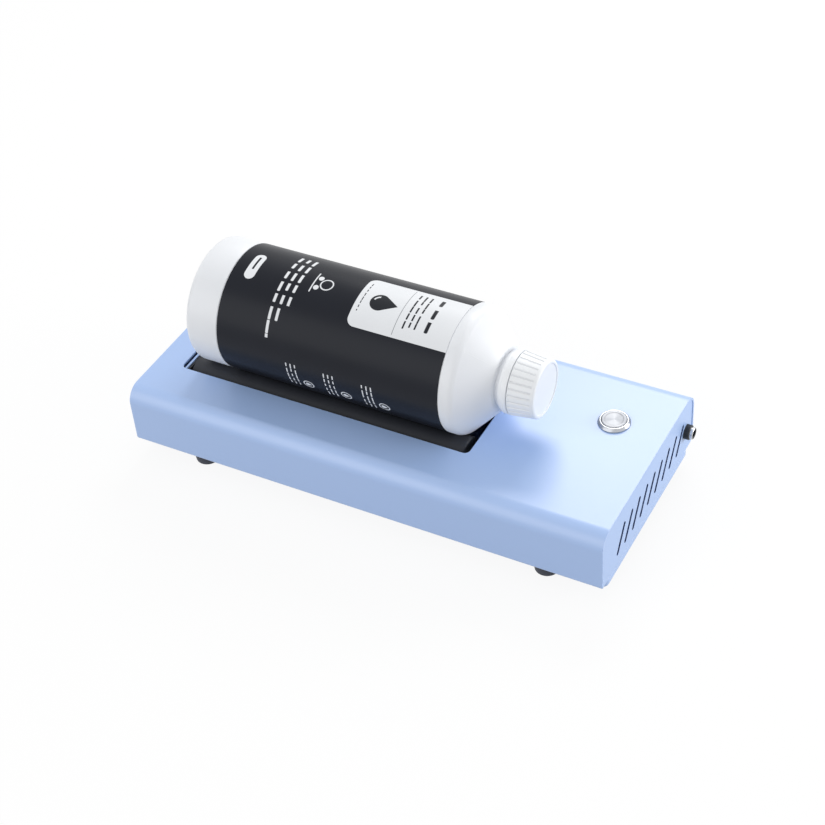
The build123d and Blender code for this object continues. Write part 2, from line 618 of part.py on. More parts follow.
def motor_bracket():
    left = MOTOR_FACE - BRACKET
    y0 = MOTOR_Y - MOTOR_BRACKET_SIDE
    y1 = MOTOR_Y + MOTOR_BRACKET_SIDE
    plate = block(left, MOTOR_FACE, y0, y1, TRAY_FLOOR_Z, MOTOR_Z + MOTOR_BRACKET_RISE)
    plate = fillet(plate.edges().filter_by(Axis.X).group_by(Axis.Z)[-1], MOTOR_BRACKET_R)
    plate += block(left, MOTOR_FACE + MOTOR_BRACKET_FOOT, y0, y1, TRAY_FLOOR_Z, TRAY_FLOOR_Z + BRACKET)
    plate -= bar(MOTOR_BOSS_R + SCREW_GAP, left - CUT, MOTOR_FACE + CUT, MOTOR_Y, MOTOR_Z)
    for y, z in motor_screw_points():
        plate -= bar(SCREW_R + SCREW_GAP, left - CUT, MOTOR_FACE + CUT, y, z)
    for x, y in floor_screw_points():
        plate -= post(SCREW_R + PRESS, TRAY_FLOOR_Z - CUT, TRAY_FLOOR_Z + BRACKET + CUT, x, y)
    return plate


def motor_screws():
    """Two screws from the gears' side through the bracket into the gearbox."""
    seat = MOTOR_FACE - BRACKET
    made = []
    for y, z in motor_screw_points():
        head = bar(SCREW_HEAD_R, seat - SCREW_HEAD_H, seat, y, z)
        head = fillet(head.edges().filter_by(GeomType.CIRCLE).sort_by(Axis.X)[0], SCREW_HEAD_EDGE_R)
        made.append(head + bar(SCREW_R, seat - WELD, MOTOR_FACE + MOTOR_SCREW_DEPTH, y, z))
    return made


def at_switch(solid):
    return Pos(SWITCH_X, SWITCH_Y, 0) * solid


def switch_bezel():
    """The steel head and threaded barrel, hollow for the button above and open below its spring's floor."""
    top = BEZEL_Z + BEZEL_HEIGHT
    head = Pos(0, 0, BEZEL_Z + BEZEL_HEIGHT / 2) * Cone(BEZEL_R, BEZEL_TOP_R, BEZEL_HEIGHT)
    barrel = head + post(SWITCH_THREAD_R, SWITCH_BODY_Z, BEZEL_Z + WELD, 0, 0)
    barrel -= post(BUTTON_R + BUTTON_GAP, SWITCH_FLOOR_Z, top + CUT, 0, 0)
    barrel -= post(BUTTON_STEM_R + BUTTON_GAP, SWITCH_BODY_Z - CUT, SWITCH_FLOOR_Z + CUT, 0, 0)
    return at_switch(barrel)


def switch_gasket():
    ring = post(GASKET_R, TOP_Z, BEZEL_Z, 0, 0)
    return at_switch(ring - post(SWITCH_THREAD_R + PRESS, TOP_Z - CUT, BEZEL_Z + CUT, 0, 0))


def switch_button():
    """The pressed disc with its shallow dished face, and the stem that runs down through the spring."""
    top = BUTTON_Z + BUTTON_HEIGHT
    disc = post(BUTTON_R, BUTTON_Z, top, 0, 0)
    disc = fillet(disc.edges().group_by(Axis.Z)[-1], BUTTON_EDGE_R)
    ball = (BUTTON_DISH_R ** 2 + BUTTON_DISH ** 2) / (2 * BUTTON_DISH)
    disc -= Pos(0, 0, top + ball - BUTTON_DISH) * Sphere(ball)
    return at_switch(disc + post(BUTTON_STEM_R, SWITCH_BODY_Z - STEM_IN, BUTTON_Z + WELD, 0, 0))


def switch_spring():
    """A compression spring between the barrel's floor and the button, its wire's centre on a helix."""
    low = SWITCH_FLOOR_Z + SPRING_WIRE_R + SPRING_GAP
    high = BUTTON_Z - SPRING_WIRE_R - SPRING_GAP
    helix = Helix(pitch=(high - low) / SPRING_TURNS, height=high - low, radius=SPRING_R)
    start = helix @ 0
    section = Plane(origin=start, z_dir=helix % 0) * Circle(SPRING_WIRE_R)
    return at_switch(Pos(0, 0, low) * sweep(section, path=helix))


def switch_nut():
    nut = extrude(RegularPolygon(NUT_FLATS / 2, 6, major_radius=False), NUT)
    nut = Pos(0, 0, UNDER_Z - NUT) * nut
    return at_switch(nut - post(SWITCH_THREAD_R + NUT_GAP, UNDER_Z - NUT - CUT, UNDER_Z + CUT, 0, 0))


def switch_body():
    """The black contact block below the barrel, hollow where the stem comes down."""
    low = SWITCH_BODY_Z - SWITCH_BODY
    body = post(SWITCH_BODY_R, low, SWITCH_BODY_Z, 0, 0)
    body = chamfer(body.edges().group_by(Axis.Z)[0], SWITCH_BODY_EDGE)
    room_z = SWITCH_BODY_Z - STEM_IN - BUTTON_TRAVEL - STEM_ROOM_BELOW
    return at_switch(body - post(BUTTON_STEM_R + STEM_ROOM, room_z, SWITCH_BODY_Z + CUT, 0, 0))


def switch_terminals():
    low = SWITCH_BODY_Z - SWITCH_BODY
    y0 = SWITCH_Y - TERMINAL_WIDTH / 2
    y1 = SWITCH_Y + TERMINAL_WIDTH / 2
    blades = []
    for side in (-1, 1):
        x = SWITCH_X + side * SWITCH_BLADE_X
        blades.append(block(x - TERMINAL / 2, x + TERMINAL / 2, y0, y1, low - TERMINAL_LENGTH, low))
    return blades


def jack_body():
    """Threaded metal bush with a shoulder inside the panel and a stepped bore for its insulating sleeve."""
    inner = PANEL_X - SHEET
    outer = PANEL_X + JACK_PROUD
    body = bar(JACK_THREAD_R, inner - WELD, outer, JACK_Y, JACK_Z)
    body = chamfer(body.edges().filter_by(GeomType.CIRCLE).sort_by(Axis.X)[-1], JACK_THREAD_EDGE)
    body += bar(JACK_SHOULDER_R, inner - JACK_SHOULDER, inner, JACK_Y, JACK_Z)
    return body - bar(JACK_SLEEVE_R, outer - JACK_SLEEVE, outer + CUT, JACK_Y, JACK_Z)


def jack_nut():
    """Round nut on the outside, with a chamfered rim."""
    nut = bar(JACK_NUT_R, PANEL_X, PANEL_X + JACK_NUT, JACK_Y, JACK_Z)
    nut = chamfer(nut.edges().filter_by(GeomType.CIRCLE).sort_by(Axis.X)[-1], JACK_NUT_EDGE)
    return nut - bar(JACK_THREAD_R + NUT_GAP, PANEL_X - CUT, PANEL_X + JACK_NUT + CUT, JACK_Y, JACK_Z)


def jack_sleeve():
    outer = PANEL_X + JACK_PROUD
    sleeve = bar(JACK_SLEEVE_R - PRESS, outer - JACK_SLEEVE, outer, JACK_Y, JACK_Z)
    return sleeve - bar(JACK_BORE_R, outer - JACK_SLEEVE + JACK_BACK, outer + CUT, JACK_Y, JACK_Z)


def jack_pin():
    outer = PANEL_X + JACK_PROUD
    low = outer - JACK_SLEEVE + JACK_BACK
    return bar(JACK_PIN_R, low, outer - JACK_PIN_SINK, JACK_Y, JACK_Z)


def jack_terminals():
    start = PANEL_X - SHEET - JACK_SHOULDER
    y0 = JACK_Y - TERMINAL_WIDTH / 2
    y1 = JACK_Y + TERMINAL_WIDTH / 2
    blades = []
    for side in (-1, 1):
        z = JACK_Z + side * JACK_TAB
        blades.append(block(start - TERMINAL_LENGTH, start, y0, y1, z - TERMINAL / 2, z + TERMINAL / 2))
    return blades


def lead(points):
    """An insulated wire along straight runs joined by arcs as large as the shorter run allows."""
    radii = []
    for before, here, after in zip(points, points[1:], points[2:]):
        run_in = Vector(*here) - Vector(*before)
        run_out = Vector(*after) - Vector(*here)
        turn = math.radians(run_in.get_angle(run_out))
        radii.append(LEAD_ROUNDING * min(run_in.length, run_out.length) / math.tan(turn / 2))
    path = FilletPolyline(*points, radius=radii)
    section = Plane(origin=path @ 0, z_dir=path % 0) * Circle(LEAD_R)
    tube = sweep(section, path=path)
    share = tube.volume / (math.pi * LEAD_R ** 2 * path.length)
    print("lead", round(path.length, 1), "mm long, volume share", round(share, 4))
    print("its radii", [round(radius, 1) for radius in radii])
    return tube


def leads():
    """Jack to switch, switch to motor and motor to jack, with a little slack above the tray's floor."""
    jack_end = PANEL_X - SHEET - JACK_SHOULDER - TERMINAL_LENGTH
    blade_low = SWITCH_BODY_Z - SWITCH_BODY - TERMINAL_LENGTH
    motor_end = MOTOR_FACE + GEARBOX + CAN + MOTOR_CAP + TERMINAL_LENGTH
    motor_side = CAN_R - MOTOR_BLADE_INSET
    right_blade = SWITCH_X + SWITCH_BLADE_X
    left_blade = SWITCH_X - SWITCH_BLADE_X
    low_tab = JACK_Z - JACK_TAB
    high_tab = JACK_Z + JACK_TAB
    floor = TRAY_FLOOR_Z + LEAD_R + LEAD_LIFT
    return {
        "lead_jack_to_switch": lead([
            (jack_end, JACK_Y, low_tab), (jack_end - LEAD_OUT, JACK_Y, low_tab),
            (jack_end - LEAD_REACH, JACK_Y - LEAD_STEP, floor + LEAD_RISE),
            (right_blade + LEAD_DIP, SWITCH_Y + LEAD_SWEEP, floor),
            (right_blade, SWITCH_Y, floor + 2 * LEAD_DIP), (right_blade, SWITCH_Y, blade_low),
        ]),
        "lead_switch_to_motor": lead([
            (left_blade, SWITCH_Y, blade_low), (left_blade, SWITCH_Y, floor + LEAD_DIP),
            (left_blade + 2 * LEAD_DIP, SWITCH_Y - LEAD_SWEEP, floor),
            (motor_end + LEAD_STEP, MOTOR_Y + LEAD_SLACK, floor + LEAD_RISE),
            (motor_end + LEAD_REACH, MOTOR_Y + motor_side, MOTOR_Z),
            (motor_end, MOTOR_Y + motor_side, MOTOR_Z),
        ]),
        "lead_motor_to_jack": lead([
            (motor_end, MOTOR_Y - motor_side, MOTOR_Z),
            (motor_end + LEAD_STEP, MOTOR_Y - motor_side, MOTOR_Z),
            (motor_end + LEAD_TURN, MOTOR_Y, MOTOR_Z + LEAD_HOP),
            (jack_end - LEAD_DIP, SWITCH_Y - LEAD_BESIDE, JACK_Z + LEAD_HOP),
            (jack_end + LEAD_DIP, SWITCH_Y + LEAD_HOP, JACK_Z + LEAD_RISE),
            (jack_end - LEAD_OUT, JACK_Y - LEAD_SWEEP, JACK_Z + LEAD_HOP),
            (jack_end - LEAD_REACH, JACK_Y, high_tab), (jack_end, JACK_Y, high_tab),
        ]),
    }


def bottle_outline(inset, end_x):
    """The bottle's solid of revolution with its surface drawn in by the inset, ending at end_x."""
    slope = math.atan2(BOTTLE_R - NECK_TOP_R, SHOULDER)
    shift = inset * math.tan(slope / 2)
    neck_x = NECK_X - inset
    neck_top = NECK_TOP_R - inset + (inset - shift) * math.tan(slope)
    corners = [
        (inset + BASE_DISH, 0), (inset + BASE_DISH, BASE_DISH_R - BASE_DISH_SLOPE), (inset, BASE_DISH_R),
        (inset, BOTTLE_R - inset), (BOTTLE_BODY - shift, BOTTLE_R - inset), (neck_x, neck_top),
        (neck_x, NECK_R - inset), (end_x, NECK_R - inset), (end_x, 0),
    ]
    solid = spun(*corners)
    rims = solid.edges().filter_by(GeomType.CIRCLE)
    heel = rims.filter_by(lambda e: abs(e.center().X - inset) < 0.01 and e.radius > BASE_DISH_R + 0.1)
    solid = fillet(heel, HEEL_R - inset)
    rims = solid.edges().filter_by(GeomType.CIRCLE)
    ridge = rims.filter_by(lambda e: abs(e.center().X - BOTTLE_BODY + shift) < 0.01)
    return fillet(ridge, SHOULDER_R - inset)


def at_bottle(solid):
    return Pos(BOTTLE_X, 0, BOTTLE_Z) * solid


def bottle_shell():
    """Blown bottle with a dished base, a recessed panel for the label, a sloping shoulder and a neck bead."""
    shell = bottle_outline(0, NECK_END_X)
    shell -= bottle_outline(BOTTLE_WALL, NECK_END_X + CUT)
    panel = bar(BOTTLE_R + CUT, LABEL_START - LABEL_MARGIN, LABEL_START + LABEL_LENGTH + LABEL_MARGIN, 0, 0)
    panel -= bar(BOTTLE_R - LABEL_RECESS, LABEL_START - CUT, LABEL_START + LABEL_LENGTH + CUT, 0, 0)
    return at_bottle(shell - panel)


def bottle_label():
    inner = BOTTLE_R - LABEL_RECESS + PRESS
    wrap = bar(inner + LABEL, LABEL_START, LABEL_START + LABEL_LENGTH, 0, 0)
    return at_bottle(wrap - bar(inner, LABEL_START - CUT, LABEL_START + LABEL_LENGTH + CUT, 0, 0))


def tamper_band():
    """The ring that stays on the neck when the cap is first opened."""
    start = NECK_X + BAND_START
    inner = NECK_R + PRESS
    ring = spun(
        (start, inner), (start, BAND_NECK_R), (start + BAND_NECK, BAND_NECK_R),
        (start + BAND_NECK + BAND_SLOPE, BAND_R), (start + BAND, BAND_R), (start + BAND, inner),
    )
    return at_bottle(ring)


def bottle_cap():
    """Screw cap with grip grooves in groups, plain panels between them, and a rim round a sunk face."""
    end = CAP_X + CAP
    cap = spun((CAP_X, 0), (CAP_X, CAP_R), (end, CAP_FACE_R), (end, 0))
    cap = fillet(cap.edges().filter_by(GeomType.CIRCLE).sort_by(Axis.X)[-1], CAP_EDGE_R)
    cap -= bar(CAP_FACE_R - CAP_RIM, end - CAP_FACE_DEPTH, end + CUT, 0, 0)
    cap -= bar(CAP_BORE_R, CAP_X - CUT, CAP_INSIDE_X, 0, 0)
    return at_bottle(cap - cap_grooves())


def cap_grooves():
    """Shallow flutes that follow the cap's taper."""
    taper = math.atan2(CAP_R - CAP_FACE_R, CAP)
    length = CAP - CAP_COLLAR + CUT
    middle = CAP_X - CUT + length / 2
    radius = CAP_R - (middle - CAP_X) * math.tan(taper)
    flute = Box(length / math.cos(taper), CAP_GROOVE_WIDTH, 2 * CAP_GROOVE_DEPTH)
    flute = Pos(middle, 0, radius) * Rot(0, math.degrees(taper), 0) * flute
    flutes = []
    for panel in range(CAP_PANELS):
        for index in range(CAP_GROOVES):
            turn = panel * 360 / CAP_PANELS + index * CAP_GROOVE_PITCH
            flutes.append(Rot(turn, 0, 0) * flute)
    return flutes


def cap_liner():
    return at_bottle(bar(CAP_BORE_R - LINER_SIDE, CAP_INSIDE_X - LINER, CAP_INSIDE_X, 0, 0))


def ink_fill():
    """The ink, level along its top, with air above it up to the bottle's wall."""
    ink = bottle_outline(BOTTLE_WALL + INK_GAP, NECK_END_X - INK_FROM_END)
    return at_bottle(ink - block(0, NECK_END_X, -BOTTLE_R, BOTTLE_R, INK_LEVEL, BOTTLE_R))


def build():
    nodes = {
        "top_cover": top_cover(),
        "left_end_panel": end_panel(-1),
        "right_end_panel": end_panel(1),
        "base_tray": base_tray(),
        "foot_screws": foot_screws(),
        "cover_standoffs": cover_standoffs(),
        "floor_screws": floor_screws(),
        "left_bracket": roller_bracket(-1),
        "right_bracket": roller_bracket(1),
        "left_end_pad": end_pad(-1),
        "right_end_pad": end_pad(1),
        "roller_gear": roller_gear(),
        "motor_pinion": motor_pinion(),
        "motor_shaft": motor_shaft(),
        "motor_gearbox": motor_gearbox(),
        "motor_can": motor_can(),
        "motor_end_cap": motor_end_cap(),
        "motor_terminals": motor_terminals(),
        "motor_bracket": motor_bracket(),
        "motor_screws": motor_screws(),
        "switch_bezel": switch_bezel(),
        "switch_gasket": switch_gasket(),
        "switch_button": switch_button(),
        "switch_spring": switch_spring(),
        "switch_nut": switch_nut(),
        "switch_body": switch_body(),
        "switch_terminals": switch_terminals(),
        "jack_body": jack_body(),
        "jack_nut": jack_nut(),
        "jack_sleeve": jack_sleeve(),
        "jack_pin": jack_pin(),
        "jack_terminals": jack_terminals(),
        "bottle_shell": bottle_shell(),
        "bottle_label": bottle_label(),
        "tamper_band": tamper_band(),
        "bottle_cap": bottle_cap(),
        "cap_liner": cap_liner(),
        "ink_fill": ink_fill(),
    }
    for x, y in foot_points():
        place = ("front" if y < 0 else "back") + ("_left" if x < 0 else "_right")
        nodes["foot_" + place] = rubber_foot(x, y)
    shaft_right = CLIP_RIGHT + CLIP + SHAFT_TAIL
    for name, y, right in (("front", -ROLLER_Y, GEAR_RIGHT), ("rear", ROLLER_Y, shaft_right)):
        nodes[name + "_roller_sleeve"] = roller_sleeve(y)
        nodes[name + "_roller_shaft"] = roller_shaft(y, right)
        nodes[name + "_roller_clips"] = shaft_clips(y)
        nodes[name + "_left_bearing"] = bearing(y, -1)
        nodes[name + "_right_bearing"] = bearing(y, 1)
    nodes.update(leads())
    return nodes


def flat_list(shape):
    if isinstance(shape, (list, tuple)):
        return [solid for item in shape for solid in flat_list(item)]
    return shape.solids()


os.makedirs("parts", exist_ok=True)
for node_name, made in build().items():
    solids = [Pos(CENTRE_X, 0, 0) * solid for solid in flat_list(made)]
    whole = solids[0] if len(solids) == 1 else Compound(children=solids)
    export_step(whole, os.path.join("parts", node_name + ".step"))
    box = whole.bounding_box()
    print(node_name, len(solids), "solids", [round(v, 2) for v in (*box.min, *box.max)])
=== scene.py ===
import math

import bmesh
import bpy
from mathutils import Matrix, Vector


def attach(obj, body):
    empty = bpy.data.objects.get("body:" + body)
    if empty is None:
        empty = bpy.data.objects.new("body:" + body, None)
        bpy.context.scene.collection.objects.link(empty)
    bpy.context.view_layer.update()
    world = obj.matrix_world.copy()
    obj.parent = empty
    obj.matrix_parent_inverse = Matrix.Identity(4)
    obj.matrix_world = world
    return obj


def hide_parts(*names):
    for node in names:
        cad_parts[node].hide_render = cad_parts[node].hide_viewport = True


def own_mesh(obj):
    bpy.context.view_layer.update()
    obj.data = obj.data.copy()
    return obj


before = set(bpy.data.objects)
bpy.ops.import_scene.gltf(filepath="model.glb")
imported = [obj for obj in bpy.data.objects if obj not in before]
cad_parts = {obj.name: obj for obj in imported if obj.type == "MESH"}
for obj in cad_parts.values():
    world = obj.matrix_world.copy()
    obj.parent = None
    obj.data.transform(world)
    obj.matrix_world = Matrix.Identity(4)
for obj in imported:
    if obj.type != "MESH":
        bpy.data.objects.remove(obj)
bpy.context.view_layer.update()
print("frame loaded with", len(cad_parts), "nodes")

mm = 0.001
xAxis = Vector((1, 0, 0))
zAxis = Vector((0, 0, 1))


# Modelling helpers

def nothingSelected():
    if bpy.context.mode != "OBJECT":
        bpy.ops.object.mode_set(mode="OBJECT")
    bpy.ops.object.select_all(action="DESELECT")


def only(piece):                                # the one piece that the next operators act on
    nothingSelected()
    piece.select_set(True)
    bpy.context.view_layer.objects.active = piece


def placed(name):                               # the new primitive, its place moved into its mesh
    piece = bpy.context.object
    piece.name = name
    bpy.ops.object.transform_apply(location=True, rotation=True, scale=True)
    return piece


def edit(piece):
    only(piece)
    bpy.ops.object.mode_set(mode="EDIT")
    bpy.ops.mesh.select_all(action="DESELECT")


def done():
    bpy.ops.object.mode_set(mode="OBJECT")


def middle(part):                               # of an edge or a face
    return sum((vert.co for vert in part.verts), Vector()) / len(part.verts)


def near(a, b, within=0.02 * mm):
    return abs(a - b) < within


def pick(piece, kind, test):                    # selects the edges or faces that pass the test, in edit mode
    bpy.ops.mesh.select_mode(type=kind)
    bpy.ops.mesh.select_all(action="DESELECT")
    shape = bmesh.from_edit_mesh(piece.data)
    for part in shape.edges if kind == "EDGE" else shape.faces:
        if test(part):
            part.select_set(True)
    bmesh.update_edit_mesh(piece.data)


def along(edge, axis):                          # whether an edge runs along an axis
    run = (edge.verts[1].co - edge.verts[0].co).normalized()
    return abs(run.dot(axis)) > 0.999


def roundEdges(piece, test, radius, segments):
    edit(piece)
    pick(piece, "EDGE", test)
    bpy.ops.mesh.bevel(offset=radius, segments=segments, affect="EDGES")
    done()


def block(name, low, high):
    nothingSelected()
    low, high = Vector(low), Vector(high)
    bpy.ops.mesh.primitive_cube_add(size=1, location=(low + high) / 2, scale=high - low)
    return placed(name)


def peg(name, centre, radius, length, axis, sides=48):
    nothingSelected()
    turn = zAxis.rotation_difference(axis).to_euler()
    bpy.ops.mesh.primitive_cylinder_add(
        vertices=sides, radius=radius, depth=length, location=centre, rotation=turn)
    return placed(name)


def useModifier(piece, kind, **settings):
    only(piece)
    modifier = piece.modifiers.new(kind.lower(), kind)
    for key, value in settings.items():
        setattr(modifier, key, value)
    bpy.ops.object.modifier_apply(modifier=modifier.name)


def cut(piece, tool, operation="DIFFERENCE"):
    useModifier(piece, "BOOLEAN", object=tool, operation=operation, solver="EXACT")
    bpy.data.objects.remove(tool)


def joined(pieces, name):
    only(pieces[0])
    for piece in pieces:
        piece.select_set(True)
    bpy.ops.object.join()
    whole = bpy.context.object
    whole.name = name
    return whole


def copied(piece, name, move, turn=None):
    other = piece.copy()
    other.data = piece.data.copy()
    other.name = name
    bpy.context.scene.collection.objects.link(other)
    if turn is not None:
        other.data.transform(turn)
    other.data.transform(Matrix.Translation(Vector(move)))
    return other


def smooth(piece, angle=40):
    only(piece)
    bpy.ops.object.shade_smooth_by_angle(angle=math.radians(angle))


def softEdges(piece, width):                    # a small bevel on every sharp edge
    useModifier(piece, "BEVEL", width=width, segments=2, limit_method="ANGLE",
                angle_limit=math.radians(40), use_clamp_overlap=True)
    smooth(piece, 50)
    useModifier(piece, "WEIGHTED_NORMAL", keep_sharp=True, weight=60)


def turned(name, start, axis, stations, sides=96, ends=(True, True)):
    # A ring is drawn out from station to station, each a distance along the axis and a radius.
    nothingSelected()
    turn = zAxis.rotation_difference(axis).to_euler()
    reach, radius = stations[0]
    bpy.ops.mesh.primitive_circle_add(
        vertices=sides, radius=radius, fill_type="NOTHING", location=start + axis * reach, rotation=turn)
    piece = placed(name)
    edit(piece)
    bpy.ops.mesh.select_mode(type="EDGE")
    bpy.ops.mesh.select_all(action="SELECT")
    if ends[0]:
        bpy.ops.mesh.edge_face_add()
        pick(piece, "EDGE", lambda edge: True)
    for nextReach, nextRadius in stations[1:]:
        bpy.ops.mesh.extrude_edges_move(TRANSFORM_OT_translate={"value": axis * (nextReach - reach)})
        ratio = nextRadius / radius
        bpy.ops.transform.resize(value=(ratio, ratio, ratio), center_override=start + axis * nextReach)
        reach, radius = nextReach, nextRadius
    if ends[1]:
        bpy.ops.mesh.edge_face_add()
    bpy.ops.mesh.select_all(action="SELECT")
    bpy.ops.mesh.normals_make_consistent(inside=False)
    done()
    return piece


def turnedRing(name, start, axis, stations, sides=96):
    # A turned piece whose wall comes back to its first station, where the two ends are merged.
    piece = turned(name, start, axis, stations + stations[:1], sides, (False, False))
    edit(piece)
    bpy.ops.mesh.select_all(action="SELECT")
    bpy.ops.mesh.remove_doubles(threshold=0.001 * mm)
    bpy.ops.mesh.normals_make_consistent(inside=False)
    done()
    return piece


def roundRing(piece, start, axis, station, radius, segments):
    # Rounds the ring at one station of a turned piece.
    def onRing(vert):
        arm = vert.co - start
        reach = arm.dot(axis)
        return near(reach, station[0]) and near((arm - axis * reach).length, station[1], 0.05 * mm)
    roundEdges(piece, lambda edge: all(onRing(vert) for vert in edge.verts), radius, segments)


# Shader maths: a socket that works in an expression

class Wire:
    def __init__(self, finish, plug):
        self.finish = finish
        self.plug = plug

    def maths(self, operation, *others, clamp=False):
        settings = {"operation": operation, "use_clamp": clamp}
        return self.finish.node("Math", settings, dict(enumerate((self, *others))))

    def __add__(self, other):
        return self.maths("ADD", other)

    __radd__ = __add__

    def __sub__(self, other):
        return self.maths("SUBTRACT", other)

    def __rsub__(self, other):
        return self.maths("MULTIPLY_ADD", -1, other)

    def __mul__(self, other):
        return self.maths("MULTIPLY", other)

    __rmul__ = __mul__

    def __truediv__(self, other):
        return self.maths("DIVIDE", other)

    def __abs__(self):
        return self.maths("ABSOLUTE")

    def __lt__(self, other):
        return self.maths("LESS_THAN", other)

    def __gt__(self, other):
        return self.maths("GREATER_THAN", other)

    def least(self, other):
        return self.maths("MINIMUM", other)

    def most(self, other):
        return self.maths("MAXIMUM", other)

    def clamped(self):
        return self.maths("ADD", 0, clamp=True)


class Finish:                                   # a material, or the world, and the nodes in it
    def __init__(self, name, home="materials"):
        self.owner = getattr(bpy.data, home).new(name)
        self.owner.use_nodes = True
        self.tree = self.owner.node_tree
        self.tree.nodes.clear()
        self.place = self.node("TexCoord", {}, {}, "Object")

    def node(self, kind, settings, sockets, out=0):
        made = self.tree.nodes.new("ShaderNode" + kind)
        for key, value in settings.items():
            setattr(made, key, value)
        for key, value in sockets.items():
            self.feed(made.inputs[key], value)
        return Wire(self, made.outputs[out])

    def feed(self, plug, value):
        if isinstance(value, Wire):
            self.tree.links.new(value.plug, plug)
        else:
            plug.default_value = value

    def axes(self):
        split = self.tree.nodes.new("ShaderNodeSeparateXYZ")
        self.feed(split.inputs[0], self.place)
        return [Wire(self, plug) for plug in split.outputs]

    def noise(self, scale, detail=3, rough=0.55, stretch=(1, 1, 1)):
        spread = self.node("Mapping", {}, {"Vector": self.place, "Scale": stretch})
        sockets = {"Vector": spread, "Scale": scale, "Detail": detail, "Roughness": rough}
        return self.node("TexNoise", {}, sockets)

    def blend(self, share, first, second):      # colours, as linear red, green, blue and alpha
        return self.node("Mix", {"data_type": "RGBA"}, {0: share, 6: first, 7: second}, 2)

    def bump(self, height, strength, distance, under=None):
        sockets = {"Height": height, "Strength": strength, "Distance": distance}
        if under is not None:
            sockets["Normal"] = under
        return self.node("Bump", {}, sockets)

    def surface(self, **sockets):
        named = {key.replace("_", " "): value for key, value in sockets.items()}
        shader = self.node("BsdfPrincipled", {}, named)
        self.output(shader)

    def output(self, shader, kind="OutputMaterial"):
        end = self.tree.nodes.new("ShaderNode" + kind)
        self.feed(end.inputs["Surface"], shader)


def colour(red, green, blue):                   # from the 0 to 255 of a screen to linear
    def linear(value):
        share = value / 255
        return share / 12.92 if share <= 0.04045 else ((share + 0.055) / 1.055) ** 2.4
    return (linear(red), linear(green), linear(blue), 1)


# Camera, floor and light

cameraView = {"azimuth": 31.06763, "elevation": 41.18646, "roll": -4.96741,       # degrees
              "distance": 1.27812, "target": (-0.014677, 0.024920, 0.0147),       # metres
              "lens": 80.116, "sensor": 36, "clip": 30}


def addCamera(plan):
    azimuth, elevation, roll = (math.radians(plan[key]) for key in ("azimuth", "elevation", "roll"))
    flat = math.cos(elevation)
    back = Vector((math.sin(azimuth) * flat, -math.cos(azimuth) * flat, math.sin(elevation)))
    right = (-back).cross(zAxis).normalized()
    up = right.cross(-back)
    tilted = right * math.cos(roll) + up * math.sin(roll)
    upright = up * math.cos(roll) - right * math.sin(roll)
    place = Vector(plan["target"]) + back * plan["distance"]
    turn = Matrix((tilted, upright, back)).transposed().to_4x4()
    lens = bpy.data.cameras.new("camera")
    lens.lens = plan["lens"]
    lens.sensor_width = plan["sensor"]
    lens.clip_end = plan["clip"]
    camera = bpy.data.objects.new("camera", lens)
    camera.matrix_world = Matrix.Translation(place) @ turn
    bpy.context.scene.collection.objects.link(camera)
    bpy.context.scene.camera = camera


stagePlan = {"size": 6.0, "shadow": 0.10, "ambient": 0.64, "white": (1, 1, 1, 1),
             "floor": (0.38, 0.38, 0.39, 1), "seenFloor": (0.95, 0.95, 0.95, 1)}


def whiteToCamera(finish, lit, plain):
    # Camera, mirror and glass rays see the plain white, and the light itself stays as it is.
    rays = finish.tree.nodes.new("ShaderNodeLightPath")
    seen = Wire(finish, rays.outputs["Is Camera Ray"])
    seen = seen.most(Wire(finish, rays.outputs["Is Glossy Ray"]))
    seen = seen.most(Wire(finish, rays.outputs["Is Transmission Ray"]))
    return finish.node("MixShader", {}, {0: seen, 1: lit, 2: plain})


def addFloor(plan):
    nothingSelected()
    bpy.ops.mesh.primitive_plane_add(size=plan["size"], location=(0, 0, 0))
    floor = placed("studio_floor")
    finish = Finish("studio_floor")
    lit = finish.node("BsdfDiffuse", {}, {"Color": plan["floor"]})
    shadowed = finish.node("BsdfDiffuse", {}, {"Color": plan["seenFloor"]})
    glow = finish.node("Emission", {}, {"Color": plan["white"], "Strength": 1})
    seen = finish.node("MixShader", {}, {0: plan["shadow"], 1: glow, 2: shadowed})
    finish.output(whiteToCamera(finish, lit, seen))
    floor.data.materials.append(finish.owner)


def addWorld(plan):
    sky = Finish("studio", "worlds")
    bpy.context.scene.world = sky.owner
    soft = sky.node("Background", {}, {"Color": plan["white"], "Strength": plan["ambient"]})
    plain = sky.node("Background", {}, {"Color": plan["white"], "Strength": 1})
    sky.output(whiteToCamera(sky, soft, plain), "OutputWorld")


lamps = {
    "key": {"place": (-0.14, 0.93, 0.95), "aim": (0.12, 0, 0.06), "size": (0.62, 0.44), "watts": 6.3},
    "front": {"place": (-0.6, -1.6, 0.8), "aim": (0, 0, 0.03), "size": (2.2, 1.5), "watts": 12.7},
    "right": {"place": (1.2, 0.62, 0.28), "aim": (0.17, 0.04, 0.04), "size": (0.6, 0.5), "watts": 9},
}


def addLamps(plans):
    for name, plan in plans.items():
        light = bpy.data.lights.new(name, "AREA")
        light.shape = "RECTANGLE"
        light.size, light.size_y = plan["size"]
        light.energy = plan["watts"]
        lamp = bpy.data.objects.new(name, light)
        place = Vector(plan["place"])
        aim = Vector(plan["aim"]) - place
        lamp.matrix_world = Matrix.Translation(place) @ aim.to_track_quat("-Z", "Y").to_matrix().to_4x4()
        bpy.context.scene.collection.objects.link(lamp)


addCamera(cameraView)
addFloor(stagePlan)
addWorld(stagePlan)
addLamps(lamps)
bpy.context.scene.view_settings.view_transform = "Standard"
print("camera, floor and light placed")


# Finishes

finishes = {}
coat = {"light": (170, 198, 243), "deep": (165, 194, 240), "roughness": 0.32, "gloss": 1.0,
        "warmth": (1.0, 0.93, 0.86, 1), "peel": 900, "drift": 9, "fine": 5200}


